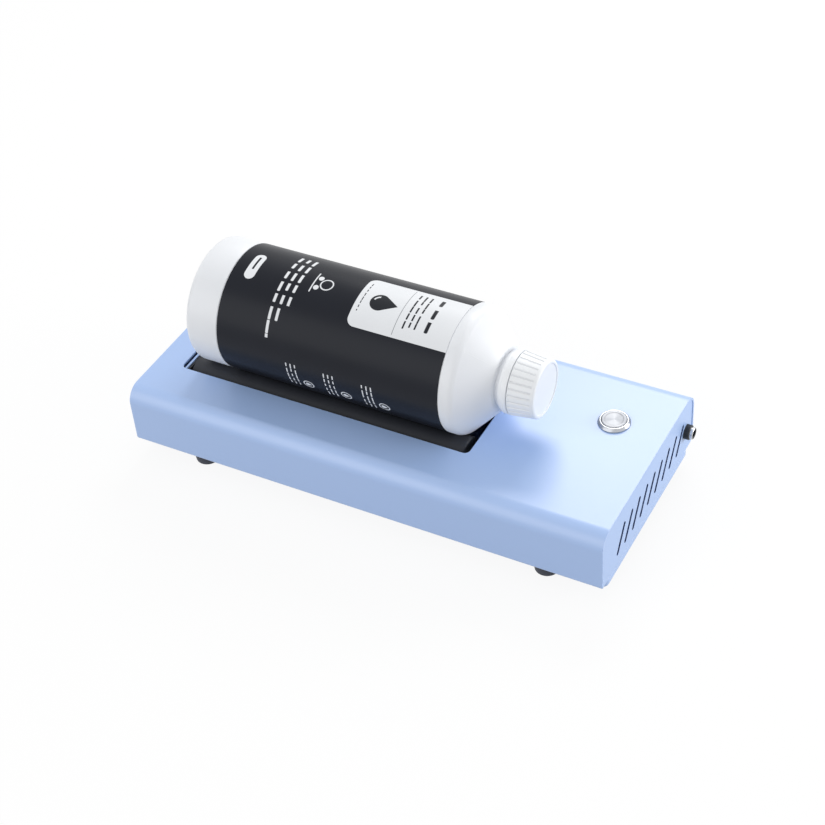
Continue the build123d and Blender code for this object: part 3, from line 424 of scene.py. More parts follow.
def powderCoat(plan):
    # Baked paint with a faint orange peel, and a tone that drifts slowly over the sheets.
    finish = Finish("powder_coat")
    peel = finish.noise(plan["peel"], 2, 0.5)
    drift = finish.noise(plan["drift"], 3)
    fine = finish.noise(plan["fine"], 2, 0.6)
    shade = finish.blend(drift * 0.5 + fine * 0.12, colour(*plan["light"]), colour(*plan["deep"]))
    rough = drift * 0.05 + peel * 0.06 + plan["roughness"]
    skin = finish.bump(peel, 0.10, 0.12 * mm)
    skin = finish.bump(fine, 0.05, 0.03 * mm, skin)
    finish.surface(Base_Color=shade, Roughness=rough, Normal=skin, Specular_IOR_Level=plan["gloss"],
                   Specular_Tint=plan["warmth"])
    return finish.owner


def shaded(shade, share):                       # a linear colour made darker by a share
    return tuple(value * share for value in shade[:3]) + (1,)


metals = {                                      # grain is how the brushing is squeezed along x, y and z
    "plated_steel": {"tone": (196, 198, 200), "roughness": 0.34, "grain": (1, 1, 6)},
    "shaft_steel": {"tone": (202, 204, 207), "roughness": 0.24, "grain": (6, 1, 1)},
    "bearing_steel": {"tone": (188, 191, 196), "roughness": 0.22},
    "motor_steel": {"tone": (178, 181, 186), "roughness": 0.36, "grain": (1, 3, 3)},
    "brass": {"tone": (214, 178, 104), "roughness": 0.3},
    "jack_metal": {"tone": (214, 215, 216), "roughness": 0.22},
    "spring_steel": {"tone": (186, 188, 192), "roughness": 0.26}}


def brushedMetal(name, tone, roughness, grain=(1, 1, 1)):
    finish = Finish(name)
    streaks = finish.noise(700, 4, 0.65, grain)
    cloud = finish.noise(60, 3)
    shade = colour(*tone)
    tint = finish.blend(cloud, shade, shaded(shade, 0.9))
    rough = streaks * 0.14 + cloud * 0.06 + (roughness - 0.1)
    skin = finish.bump(streaks, 0.12, 0.02 * mm)
    finish.surface(Base_Color=tint, Metallic=1.0, Roughness=rough, Normal=skin)
    return finish.owner


mouldings = {                                   # spread is how uneven the tone is
    # The first is a darker blue, painted shade on the walls of the vent slots.
    "vent_wall_shade": {"tone": (72, 92, 148), "roughness": 0.7, "texture": 0.1, "spread": 0.1},
    "pad_rubber": {"tone": (38, 41, 48), "roughness": 0.66, "texture": 0.2, "scale": 2600, "spread": 0.12},
    "foot_rubber": {"tone": (52, 57, 70), "roughness": 0.6, "texture": 0.14, "scale": 1900, "spread": 0.1},
    "gear_plastic": {"tone": (232, 229, 218), "roughness": 0.4, "texture": 0.06, "scale": 1600},
    "black_plastic": {"tone": (30, 32, 36), "roughness": 0.44, "texture": 0.1, "scale": 2400, "spread": 0.1},
    "gasket_rubber": {"tone": (26, 28, 33), "roughness": 0.62, "texture": 0.14, "scale": 2600, "spread": 0.1},
    "liner_foam": {"tone": (236, 236, 232), "roughness": 0.8, "texture": 0.3, "scale": 3200},
    "ink": {"tone": (240, 240, 238), "roughness": 0.12, "texture": 0.0, "scale": 200, "spread": 0.01},
    "lead_black": {"tone": (28, 29, 32), "roughness": 0.45, "texture": 0.06, "spread": 0.1},
    "lead_red": {"tone": (176, 34, 36), "roughness": 0.42, "texture": 0.06, "spread": 0.08}}


def moulded(name, tone, roughness, texture, scale=1500, spread=0.04):
    finish = Finish(name)
    grain = finish.noise(scale, 3, 0.6)
    cloud = finish.noise(24, 3)
    shade = colour(*tone)
    tint = finish.blend(cloud * 0.7 + grain * 0.3, shade, shaded(shade, 1 - spread * 2))
    rough = cloud * 0.08 + grain * 0.08 + (roughness - 0.08)
    skin = finish.bump(grain, texture, 0.05 * mm)
    finish.surface(Base_Color=tint, Roughness=rough, Normal=skin)
    return finish.owner


rubber = {"dark": (34, 37, 44), "dusty": (48, 51, 59), "roughness": 0.5, "gloss": 0.42,
          "grinding": (2600, 40, 40), "grain": 2600, "dust": 45}


def rollerRubber(plan):
    # Black rubber with the fine rings that its grinding leaves, and a little dust.
    finish = Finish("roller_rubber")
    grinding = finish.noise(1, 3, 0.6, plan["grinding"])
    grain = finish.noise(plan["grain"], 3, 0.7)
    dust = finish.noise(plan["dust"], 4, 0.6)
    tint = finish.blend(dust * 0.6 + grain * 0.25, colour(*plan["dark"]), colour(*plan["dusty"]))
    rough = dust * 0.12 + grain * 0.1 + plan["roughness"]
    skin = finish.bump(grinding, 0.12, 0.05 * mm)
    skin = finish.bump(grain, 0.12, 0.04 * mm, skin)
    finish.surface(Base_Color=tint, Roughness=rough, Normal=skin, Specular_IOR_Level=plan["gloss"])
    return finish.owner


def boxEdge(u, v, centre, half, corner):
    # How far a point lies outside a box with round corners, and less than nothing inside it.
    du = (abs(u - centre[0]) - (half[0] - corner)).most(0)
    dv = (abs(v - centre[1]) - (half[1] - corner)).most(0)
    return (du * du + dv * dv).maths("SQRT") - corner


def roundEdge(u, v, centre, radius):
    du, dv = u - centre[0], v - centre[1]
    return (du * du + dv * dv).maths("SQRT") - radius


def dropEdge(u, v, centre, radius, height):
    # A drop with its tip the height above the middle of its round part.
    sine = radius / height
    cosine = math.sqrt(1 - sine * sine)
    side = abs(v - centre[1]) * cosine + (u - (centre[0] + height)) * sine
    below = (u - centre[0]) * -1 + radius * sine
    return roundEdge(u, v, centre, radius).least(side.most(below))


def printed(edge, blur=0.12):                   # 1 where the print is, with a slight soft edge
    return (edge * (-1 / blur) + 0.5).clamped()


labelLines = [                                  # blocks of bars, in millimetres along and round the label
    {"row": -23.6, "start": -5.5, "end": 19.5, "height": 0.7, "word": 3.4, "seed": 1},
    {"row": 27.2, "start": -7, "end": 24, "height": 2.6, "word": 10.4, "seed": 5},
    {"row": 11.2, "step": 4.0, "count": 3, "start": -7, "end": 23, "longer": 0,
     "height": 1.2, "word": 6.1, "seed": 3},
    {"row": -106.5, "start": -1.2, "end": 15, "height": 1.5, "word": 16.4, "seed": 9},
    {"row": -70.6, "step": -5.4, "count": 3, "start": -14, "end": 29, "longer": 12,
     "height": 2.0, "word": 9.2, "seed": 12}]
iconLines = {"row": -7.6, "step": -3.3, "count": 3, "start": 68, "end": 91, "longer": 0,
             "height": 0.9, "word": 4.6, "seed": 20}
icons = {"first": -52.6, "step": 28.4, "count": 3, "across": 84.5, "radius": 4.0, "line": 0.4,
         "drop": 1.6, "dropSink": 0.6, "before": 0.7}      # before: the share of a step ahead of an icon
bars = {"band": 0.9, "straight": 0.15, "corner": 0.35, "blur": 0.18,       # of a bar's height
        "shortest": 0.22, "spread": 0.24,                   # of a word, as half lengths
        "blockSeed": 7.31, "rowSeed": 31.7, "groupSeed": 3}


def lineTerms(u, v, plan):
    # Where a point lies in a block of bars: in the block or not, and its place along and across a bar.
    if "step" in plan:                          # a block of several rows
        index = ((u - plan["row"]) / plan["step"] + 0.5).maths("FLOOR").most(0).least(plan["count"] - 1)
        rise = u - plan["row"] - index * plan["step"]
        stop = index * plan["longer"] + plan["end"]
        mark = index * bars["rowSeed"] + plan["seed"] * bars["blockSeed"]
    else:
        rise, stop, mark = u - plan["row"], plan["end"], plan["seed"] * bars["blockSeed"]
    inBlock = (abs(rise) < plan["height"] * bars["band"]) * (v > plan["start"]) * (v < stop)
    across = rise / plan["height"]
    along = (v - plan["start"]) / plan["word"]
    slim = plan["word"] / plan["height"]
    return inBlock, inBlock * across, inBlock * along, inBlock * slim, inBlock * mark


def printedLines(finish, u, v):
    # Plain bars of uneven length in rows.
    group = ((u - icons["first"]) / icons["step"] + icons["before"]).maths("FLOOR")
    group = group.most(0).least(icons["count"] - 1)
    groupU = u - group * icons["step"] - icons["first"]
    total = None
    for across, plan in [(u, plan) for plan in labelLines] + [(groupU, iconLines)]:
        terms = lineTerms(across, v, plan)
        total = terms if total is None else [one + other for one, other in zip(total, terms)]
    inBlock, rise, along, slim, mark = total
    count = along.maths("FLOOR")
    seed = count + mark + group * bars["groupSeed"] + 0.5
    chance = finish.node("TexWhiteNoise", {"noise_dimensions": "1D"}, {"W": seed})
    half = chance * bars["spread"] + bars["shortest"]
    du = (abs(rise) - bars["straight"]).most(0)
    dv = (abs(along - count - half) - half).most(0) * slim
    edge = (du * du + dv * dv).maths("SQRT") - bars["corner"]
    return printed(edge, bars["blur"]) * inBlock, groupU


labelArt = {                                    # along and round the label, in millimetres
    "patch": {"centre": (21.4, 9.3), "half": (48.6, 21.1), "corner": 5.5},
    "divider": {"centre": (5.7, 9.3), "half": (0.22, 19.4), "corner": 0.1},
    "pill": {"centre": (-106.5, 7), "half": (3.9, 11.4), "corner": 3.9},
    "shelf": {"centre": (-60.9, 7), "half": (0.45, 8.6), "corner": 0.4},
    "overlap": {"centre": (-37, -92), "half": (90, 0.15), "corner": 0.05},
    "drop": {"centre": (-11.5, 9.2), "radius": 6.6, "height": 13.2},
    "glint": {"radius": 4.4, "line": 0.55, "below": -12.5, "leftOf": 8},
    "bottleRing": {"centre": (-51.6, 7), "radius": 4.3, "line": 0.45},
    "rollerDot": {"middle": 7, "centre": (-57.8, 4.1), "radius": 1.9}}
film = {"black": (21, 24, 32), "worn": (28, 31, 40), "paper": (236, 238, 241),
        "paperDeep": (229, 232, 236), "print": (32, 35, 41), "divider": (150, 153, 158),
        "roughness": 0.29, "gloss": 0.17}


def patchPrint(u, v, lines):
    # The divider, the drop with its glint and the bars on the light patch.
    drop, glint = labelArt["drop"], labelArt["glint"]
    divider = printed(boxEdge(u, v, **labelArt["divider"]))
    mark = printed(dropEdge(u, v, **drop))
    shine = printed(abs(roundEdge(u, v, drop["centre"], glint["radius"])) - glint["line"])
    shine = shine * (u < glint["below"]) * (v < glint["leftOf"])
    return divider, divider.most(mark - shine).most(lines)


def whitePrint(u, v, lines, groupU):
    # What is white on the black: the pill, the bottle on its two rollers and the small ringed drops.
    ring, dot = labelArt["bottleRing"], labelArt["rollerDot"]
    white = abs(printed(boxEdge(u, v, **labelArt["pill"])) - lines)
    bottleRing = printed(abs(roundEdge(u, v, ring["centre"], ring["radius"])) - ring["line"])
    rollerDots = printed(roundEdge(u, abs(v - dot["middle"]), dot["centre"], dot["radius"]))
    shelf = printed(boxEdge(u, v, **labelArt["shelf"]))
    white = white.most(bottleRing).most(rollerDots).most(shelf)
    disc = roundEdge(groupU, v, (0, icons["across"]), icons["radius"])
    iconRing = printed(abs(disc + icons["line"]) - icons["line"])
    core = dropEdge(groupU, v, (-icons["dropSink"], icons["across"]), icons["drop"], icons["drop"] * 2)
    return white.most(iconRing).most(printed(core)).clamped()


def labelFilm(plan):
    # The printed film, by the place along the bottle, u, and round it, v.
    finish = Finish("label_film")
    x, y, z = finish.axes()
    u = x / mm
    v = (y * -1).maths("ARCTAN2", z - bottle["height"]) * (label["outer"] / mm)
    patch = printed(boxEdge(u, v, **labelArt["patch"]))
    lines, groupU = printedLines(finish, u, v)
    divider, onPatch = patchPrint(u, v, lines)
    white = whitePrint(u, v, lines, groupU)
    cloud = finish.noise(40, 3)
    grain = finish.noise(2400, 2)
    black = finish.blend(cloud * 0.6 + grain * 0.3, colour(*plan["black"]), colour(*plan["worn"]))
    paper = finish.blend(cloud, colour(*plan["paper"]), colour(*plan["paperDeep"]))
    grey = finish.blend(divider, colour(*plan["print"]), colour(*plan["divider"]))
    tint = finish.blend(patch, finish.blend(white, black, paper), finish.blend(onPatch, paper, grey))
    rough = cloud * 0.06 + grain * 0.05 + plan["roughness"]
    skin = finish.bump(finish.noise(70, 2), 0.06, 0.5 * mm)
    skin = finish.bump(printed(boxEdge(u, v, **labelArt["overlap"])), 0.5, 0.1 * mm, skin)
    finish.surface(Base_Color=tint, Roughness=rough, Normal=skin, Specular_IOR_Level=plan["gloss"])
    return finish.owner


shell = {"light": (238, 240, 243), "deep": (231, 234, 239), "roughness": 0.3, "ripple": (26, 60, 60),
         "seam": (0.82, 0.57), "seamHalf": 0.18, "glow": 0.35, "depth": 1.2}


def bottlePlastic(plan):
    # Blown plastic that lets some light in, slightly rippled, with the parting line of its mould.
    finish = Finish("bottle_plastic")
    y, z = finish.axes()[1:]
    cloud = finish.noise(18, 3)
    ripple = finish.noise(1, 2, 0.5, plan["ripple"])
    grain = finish.noise(2200, 2, 0.6)
    across, up = plan["seam"]
    seam = abs(y * across + (z - bottle["height"]) * up) < plan["seamHalf"] * mm
    tint = finish.blend(cloud, colour(*plan["light"]), colour(*plan["deep"]))
    rough = cloud * 0.08 + grain * 0.06 + plan["roughness"]
    skin = finish.bump(ripple, 0.12, 1.2 * mm)
    skin = finish.bump(grain, 0.06, 0.03 * mm, skin)
    skin = finish.bump(seam, 0.5, 0.08 * mm, skin)
    finish.surface(Base_Color=tint, Roughness=rough, Normal=skin, Subsurface_Weight=plan["glow"],
                   Subsurface_Radius=(1.0, 1.0, 1.0), Subsurface_Scale=plan["depth"] * mm)
    return finish.owner


# The darker colour with its share, start and rate is painted shade in the cap's grooves.
closure = {"light": (243, 245, 247), "deep": (237, 240, 244), "roughness": 0.3, "glow": 0.25, "depth": 0.9,
           "groove": (204, 209, 217), "grooveShare": 0.22, "grooveFrom": 0.06, "grooveRate": 2.4,
           "inset": 0.1}


def capPlastic(plan):
    # White plastic with painted shade: greyer where it lies deeper than the cap's tapered side, in the
    # grooves.
    finish = Finish("cap_plastic")
    x, y, z = finish.axes()
    cloud = finish.noise(30, 3)
    grain = finish.noise(2400, 2, 0.6)
    along, up = x / mm - (bottle["start"] + cap["start"]) / mm, z - bottle["height"]
    taper = (cap["faceOuter"] - cap["outer"]) / cap["length"]
    sunk = along * taper + cap["outer"] / mm - (y * y + up * up).maths("SQRT") / mm
    # painted shade, stronger the deeper the surface lies below the taper
    groove = ((sunk - plan["grooveFrom"]) * plan["grooveRate"]).clamped()
    groove = groove * (along > cap["skirt"] / mm + plan["inset"])
    groove = groove * (along < (cap["length"] - cap["collar"]) / mm - plan["inset"])
    tint = finish.blend(cloud, colour(*plan["light"]), colour(*plan["deep"]))
    tint = finish.blend(groove * plan["grooveShare"], tint, colour(*plan["groove"]))
    rough = cloud * 0.06 + grain * 0.06 + plan["roughness"]
    skin = finish.bump(grain, 0.07, 0.03 * mm)
    finish.surface(Base_Color=tint, Roughness=rough, Normal=skin, Subsurface_Weight=plan["glow"],
                   Subsurface_Radius=(1.0, 1.0, 1.0), Subsurface_Scale=plan["depth"] * mm)
    return finish.owner


spunMetals = {
    # light and dark are the tones of the rings and also of the painted fans of highlight and shade.
    "stainless": {"light": (196, 198, 202), "dark": (138, 141, 147), "roughness": 0.30, "metallic": 0.85},
    "button_face": {"light": (196, 198, 202), "dark": (150, 153, 159), "roughness": 0.50, "metallic": 0.5}}
ringScale = 6000


def spunMetal(name, light, dark, roughness, metallic):
    # Rings of turning round the button's axis, and painted fans of highlight and shade that stand in for the
    # reflections such rings show.
    finish = Finish(name)
    x, y, z = finish.axes()
    dx, dy = x - switch["centre"][0], y - switch["centre"][1]
    reach = (dx * dx + dy * dy).maths("SQRT")
    coil = finish.node("CombineXYZ", {}, {0: reach * ringScale, 1: 0, 2: z * ringScale})
    rings = finish.node("TexNoise", {}, {"Vector": coil, "Scale": 1, "Detail": 3, "Roughness": 0.6})
    turn = dy.maths("ARCTAN2", dx)
    # painted highlight and shade: fans of lighter and darker tone round the axis
    paintedSheenFans = (turn * 2 + 0.6).maths("SINE") * 0.5 + (turn * 5 + 2).maths("SINE") * 0.18 + 0.5
    cloud = finish.noise(120, 3)
    share = (rings * 0.35 + cloud * 0.15 + paintedSheenFans * 0.5).clamped()
    tint = finish.blend(share, colour(*light), colour(*dark))
    rough = rings * 0.12 + cloud * 0.05 + (roughness - 0.08)
    skin = finish.bump(rings, 0.18, 0.02 * mm)
    finish.surface(Base_Color=tint, Metallic=metallic, Roughness=rough, Normal=skin)
    return finish.owner


# Pieces

def metres(plan):
    def scaled(value):
        if isinstance(value, (list, tuple)):
            return [scaled(part) for part in value]
        return value * mm
    return {key: scaled(value) for key, value in plan.items()}


def dress(piece, body, node, slot):
    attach(piece, body)
    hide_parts(node)
    piece.data.materials.clear()
    piece.data.materials.append(finishes[slot])


casing = metres({"left": -177.75, "right": 172.25, "side": 76, "low": 14.7, "top": 58.3, "sheet": 1.5,
                 "bend": 11.5, "lip": 20, "fold": 2.2, "corner": 2.5, "lipEnd": 2.1, "past": 5, "soft": 0.32})
well = metres({"left": -157.75, "right": 62.65, "side": 39.5, "corner": 4})
switch = metres({"centre": (136.05, 26.4), "hole": 9.5})


def makeCover(plan):
    piece = block("cover_shell", (plan["left"], -plan["side"], plan["low"]),
                  (plan["right"], plan["side"], plan["top"]))
    edit(piece)
    pick(piece, "FACE", lambda face: abs(face.normal.x) > 0.9 or face.normal.z < -0.9)
    bpy.ops.mesh.delete(type="FACE")            # open below and at both ends
    for side in (-1, 1):                        # lips folded in under the front and back walls
        pick(piece, "EDGE", lambda edge: along(edge, xAxis) and near(middle(edge).z, plan["low"])
             and near(middle(edge).y, side * plan["side"]))
        bpy.ops.mesh.extrude_edges_move(TRANSFORM_OT_translate={"value": (0, -side * plan["lip"], 0)})
    pick(piece, "EDGE", lambda edge: along(edge, xAxis) and near(middle(edge).z, plan["low"])
         and near(abs(middle(edge).y), plan["side"]))
    bpy.ops.mesh.bevel(offset=plan["fold"], segments=6, affect="EDGES")
    pick(piece, "EDGE", lambda edge: along(edge, xAxis) and near(middle(edge).z, plan["top"]))
    bpy.ops.mesh.bevel(offset=plan["bend"], segments=24, affect="EDGES")         # the two large bends
    bpy.ops.mesh.select_all(action="SELECT")
    bpy.ops.mesh.normals_make_consistent(inside=False)
    done()
    useModifier(piece, "SOLIDIFY", thickness=plan["sheet"], offset=-1, use_even_offset=True)
    inside = plan["side"] - plan["sheet"]
    for x in (plan["left"], plan["right"]):     # the lips stop short of the end panels
        cut(piece, block("lip_end", (x - plan["lipEnd"], -inside, plan["low"] - plan["past"]),
                         (x + plan["lipEnd"], inside, plan["low"] + plan["fold"])))
    outline = block("outline", (plan["left"], -plan["side"] - plan["past"], plan["low"]),
                    (plan["right"], plan["side"] + plan["past"], plan["top"] + plan["past"]))
    roundEdges(outline, lambda edge: along(edge, Vector((0, 1, 0))) and near(middle(edge).z, plan["low"]),
               plan["corner"], 6)
    cut(piece, outline, "INTERSECT")            # rounds the lower corners at both ends
    opening = block("opening", (well["left"], -well["side"], plan["top"] - plan["past"]),
                    (well["right"], well["side"], plan["top"] + plan["past"]))
    roundEdges(opening, lambda edge: along(edge, zAxis), well["corner"], 8)
    cut(piece, opening)
    hole = Vector((*switch["centre"], plan["top"]))
    cut(piece, peg("hole", hole, switch["hole"], 2 * plan["past"], zAxis, 64))
    softEdges(piece, plan["soft"])
    dress(piece, "base", "top_cover", "powder_coat")


endPanel = metres({"inset": 0.5, "sheet": 1.5, "side": 74.4, "low": 14.7, "top": 56.7, "bend": 9.9,
                   "flange": 12, "flangeSide": 52, "soft": 0.28})
vents = metres({"width": 3.4, "rise": 19.3, "lean": 12.3, "first": -45.8, "pitch": 12.34625, "height": 32.6,
                "margin": 1})
ventCount = 9
almostHalf = 0.499                              # of a slot's width, so that its round ends don't meet
jackPlace = metres({"y": 63.7, "z": 32.4, "hole": 4.3})


def ventTools(x):                               # the slanted slots that are cut from the panel at x
    length = math.hypot(vents["rise"], vents["lean"])
    half = Vector((endPanel["sheet"] * 2, vents["width"] / 2, length / 2))
    pattern = block("vent", -half, half)
    roundEdges(pattern, lambda edge: along(edge, xAxis), vents["width"] * almostHalf, 7)
    turn = Matrix.Rotation(-math.atan2(vents["lean"], vents["rise"]), 4, "X")
    slots = []
    for index in range(ventCount):
        y = vents["first"] + index * vents["pitch"]
        slots.append(copied(pattern, "vent_slot", (x, y, vents["height"]), turn))
    bpy.data.objects.remove(pattern)
    return joined(slots, "vent_slots")


def shadeSlotWalls(piece, outer):
    # The slots' cut edges are the faces there that don't look along the panel's own axis, and they get a
    # darker blue as painted shade inside the slots.
    span = ventCount * vents["pitch"] / 2
    centre = vents["first"] + (ventCount - 1) * vents["pitch"] / 2
    halfRise = vents["rise"] / 2 + vents["margin"]
    deep = endPanel["sheet"] + vents["margin"]
    piece.data.materials.append(finishes["vent_wall_shade"])
    for face in piece.data.polygons:
        place, across = face.center, abs(face.normal.x) < 0.5
        inside = abs(place.y - centre) < span and abs(place.z - vents["height"]) < halfRise
        if across and inside and abs(place.x - outer) < deep:
            face.material_index = 1


def makeEndPanel(name, node, side, plan):
    outer = casing["right"] - plan["inset"] if side > 0 else casing["left"] + plan["inset"]
    inner = outer - side * plan["sheet"]
    toe = outer - side * plan["flange"]
    piece = block(name, (min(outer, inner), -plan["side"], plan["low"]),
                  (max(outer, inner), plan["side"], plan["top"]))
    roundEdges(piece, lambda edge: along(edge, xAxis) and near(middle(edge).z, plan["top"]),
               plan["bend"], 22)
    flange = block("flange", (min(outer, toe), -plan["flangeSide"], plan["low"]),
                   (max(outer, toe), plan["flangeSide"], plan["low"] + plan["sheet"]))
    cut(piece, flange, "UNION")
    if side > 0:
        cut(piece, ventTools(outer))
        hole = Vector((outer, jackPlace["y"], jackPlace["z"]))
        cut(piece, peg("hole", hole, jackPlace["hole"], plan["sheet"] * 4, xAxis))
    softEdges(piece, plan["soft"])
    dress(piece, "base", node, "powder_coat")
    if side > 0:
        shadeSlotWalls(piece, outer)


tray = metres({"side": 68.5, "low": 8, "top": 14.4, "corner": 4, "fold": 2.2, "sheet": 1.5, "soft": 0.25})


def makeTray(plan):
    piece = block("tray_shell", (casing["left"] + endPanel["inset"], -plan["side"], plan["low"]),
                  (casing["right"] - endPanel["inset"], plan["side"], plan["top"]))
    roundEdges(piece, lambda edge: along(edge, zAxis), plan["corner"], 8)
    roundEdges(piece, lambda edge: near(middle(edge).z, plan["low"]), plan["fold"], 6)
    edit(piece)
    pick(piece, "FACE", lambda face: face.normal.z > 0.9)
    bpy.ops.mesh.inset(thickness=plan["sheet"])
    depth = plan["low"] + plan["sheet"] - plan["top"]
    bpy.ops.mesh.extrude_region_move(TRANSFORM_OT_translate={"value": (0, 0, depth)})
    done()
    softEdges(piece, plan["soft"])
    dress(piece, "base", "base_tray", "powder_coat")


foot = metres({"height": 8, "top": 9, "bottom": 8.2, "recess": 4.2, "recessDepth": 4, "bore": 1.6,
               "edge": 1.2, "innerEdge": 0.36})
footPlaces = metres({"front_left": (-132.25, -59.4), "front_right": (126.75, -59.4),
                     "back_left": (-132.25, 59.4), "back_right": (126.75, 59.4)})


def makeFeet(plan, places):
    down = -zAxis
    stations = [(0, plan["bore"]), (0, plan["top"]), (plan["height"], plan["bottom"]),
                (plan["height"], plan["recess"]), (plan["recessDepth"], plan["recess"]),
                (plan["recessDepth"], plan["bore"])]
    start = Vector((0, 0, plan["height"]))
    pattern = turnedRing("foot", start, down, stations, 72)
    roundRing(pattern, start, down, stations[2], plan["edge"], 5)
    roundRing(pattern, start, down, stations[1], plan["innerEdge"], 3)
    roundRing(pattern, start, down, stations[3], plan["innerEdge"], 3)
    smooth(pattern)
    for corner, place in places.items():
        piece = copied(pattern, "rubber_foot_" + corner, (*place, 0))
        dress(piece, "base", "foot_" + corner, "foot_rubber")
    bpy.data.objects.remove(pattern)


roller = metres({"radius": 12.5, "side": 27.5, "height": 45.6, "left": -152.25, "length": 210,
                 "chamfer": 1, "bore": 4.02, "soft": 0.3})


def makeSleeve(name, node, body, side, plan):
    start = Vector((plan["left"], side * plan["side"], plan["height"]))
    chamfer = plan["chamfer"]
    stations = [(0, plan["bore"]), (0, plan["radius"] - chamfer), (chamfer, plan["radius"]),
                (plan["length"] - chamfer, plan["radius"]), (plan["length"], plan["radius"] - chamfer),
                (plan["length"], plan["bore"])]
    piece = turnedRing(name, start, xAxis, stations)
    for station in stations[1:5]:
        roundRing(piece, start, xAxis, station, plan["soft"], 3)
    smooth(piece)
    dress(piece, body, node, "roller_rubber")


head = metres({"bottom": 58.8, "top": 60.8, "outer": 11, "topOuter": 9.6, "barrel": 9.3, "bore": 8.45,
               "chamfer": 0.35, "floor": 51.7, "stemBore": 2.65, "end": 42.8, "soft": 0.3})


def makeBezel(plan):
    start = Vector((*switch["centre"], 0))
    chamfer = plan["chamfer"]
    stations = [(plan["end"], plan["stemBore"]), (plan["end"], plan["barrel"]),
                (plan["bottom"], plan["barrel"]), (plan["bottom"], plan["outer"]),
                (plan["top"], plan["topOuter"]), (plan["top"], plan["bore"] + chamfer),
                (plan["top"] - chamfer, plan["bore"]), (plan["floor"], plan["bore"]),
                (plan["floor"], plan["stemBore"])]
    piece = turnedRing("button_bezel", start, zAxis, stations)
    roundRing(piece, start, zAxis, stations[3], plan["soft"], 3)
    roundRing(piece, start, zAxis, stations[4], plan["soft"], 4)
    smooth(piece)
    dress(piece, "base", "switch_bezel", "stainless")


button = metres({"low": 56.7, "top": 61.3, "radius": 8.3, "edge": 0.5, "rim": 6.4, "slope": 0.5,
                 "dish": 0.25, "dishSoft": 0.15, "stem": 2.5, "stemEnd": 41.8})


def makeButton(plan):
    start = Vector((*switch["centre"], 0))
    stations = [(plan["stemEnd"], plan["stem"]), (plan["low"], plan["stem"]), (plan["low"], plan["radius"]),
                (plan["top"], plan["radius"]), (plan["top"], plan["rim"]),
                (plan["top"] - plan["dish"], plan["rim"] - plan["slope"])]
    piece = turned("button_disc", start, zAxis, stations)
    roundRing(piece, start, zAxis, stations[3], plan["edge"], 5)
    roundRing(piece, start, zAxis, stations[4], plan["dishSoft"], 2)
    roundRing(piece, start, zAxis, stations[5], plan["dishSoft"], 2)
    smooth(piece)
    dress(piece, "button", "switch_button", "button_face")


spring = metres({"low": 51.7, "high": 56.7, "gap": 0.1, "wire": 0.4, "radius": 4.4, "travel": 1.8})
springCoil = {"turns": 4, "steps": 40, "sides": 12}


def makeSpring(plan):
    # The coil between the barrel's floor and the button.
    low = plan["low"] + plan["wire"] + plan["gap"]
    high = plan["high"] - plan["wire"] - plan["gap"]
    nothingSelected()
    bpy.ops.mesh.primitive_circle_add(vertices=springCoil["sides"], radius=plan["wire"],
                                      location=(plan["radius"], 0, 0), rotation=(math.pi / 2, 0, 0))
    piece = placed("button_spring")
    useModifier(piece, "SCREW", axis="Z", screw_offset=(high - low) / springCoil["turns"],
                iterations=springCoil["turns"], steps=springCoil["steps"])
    edit(piece)
    bpy.ops.mesh.select_all(action="SELECT")
    bpy.ops.mesh.fill_holes(sides=springCoil["sides"])
    bpy.ops.mesh.normals_make_consistent(inside=False)
    done()
    piece.location = (*switch["centre"], low)
    bpy.ops.object.transform_apply(location=True, rotation=True, scale=True)
    smooth(piece)
    dress(piece, "base", "switch_spring", "spring_steel")
    height = plan["high"] - plan["low"]
    (height - plan["travel"]) / height
    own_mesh(piece)


jack = metres({"panel": 171.75, "mouth": 177.75, "nut": 3.9, "nutRadius": 5.2, "nutBore": 4.25,
               "nutEdge": 0.5, "nutSoft": 0.12, "thread": 4.2, "threadEdge": 0.3, "shoulder": 5.4,
               "shoulderLength": 11, "sleeve": 3.7, "sleeveLength": 9, "back": 1.2, "bore": 2.8,
               "boreEdge": 0.25, "press": 0.02, "sheet": 1.5, "pin": 1, "pinSink": 0.8, "pinTaper": 0.5,
               "pinNose": 0.15, "pinNoseRadius": 0.8, "pinTipRadius": 0.4})


def makeJack(plan):
    start = Vector((plan["panel"], jackPlace["y"], jackPlace["z"]))
    reach = plan["mouth"] - plan["panel"]
    inner = -plan["sheet"]
    edge = plan["nutEdge"]
    nut = turnedRing("jack_ring", start, xAxis, [
        (0, plan["nutBore"]), (0, plan["nutRadius"]), (plan["nut"] - edge, plan["nutRadius"]),
        (plan["nut"], plan["nutRadius"] - edge), (plan["nut"], plan["nutBore"])], 72)
    softEdges(nut, plan["nutSoft"])
    dress(nut, "base", "jack_nut", "black_plastic")
    edge = plan["threadEdge"]
    back = inner - plan["shoulderLength"]
    socket = reach - plan["sleeveLength"]
    bush = turned("jack_bush", start, xAxis, [
        (socket, plan["sleeve"]), (reach, plan["sleeve"]), (reach, plan["thread"] - edge),
        (reach - edge, plan["thread"]), (inner, plan["thread"]), (inner, plan["shoulder"]),
        (back, plan["shoulder"])], 72)
    smooth(bush, 30)
    dress(bush, "base", "jack_body", "jack_metal")
    outer = plan["sleeve"] - plan["press"]
    floor = socket + plan["back"]
    sleeve = turned("jack_contact_sleeve", start, xAxis, [
        (floor, plan["bore"]), (reach - plan["boreEdge"], plan["bore"]),
        (reach, plan["bore"] + plan["boreEdge"]), (reach, outer), (socket, outer)], 72)
    smooth(sleeve, 30)
    dress(sleeve, "base", "jack_sleeve", "black_plastic")
    tip = reach - plan["pinSink"]
    pin = turned("jack_centre_pin", start, xAxis, [
        (floor, plan["pin"]), (tip - plan["pinTaper"], plan["pin"]),
        (tip - plan["pinNose"], plan["pinNoseRadius"]), (tip, plan["pinTipRadius"])], 32)
    smooth(pin, 50)
    dress(pin, "base", "jack_pin", "jack_metal")


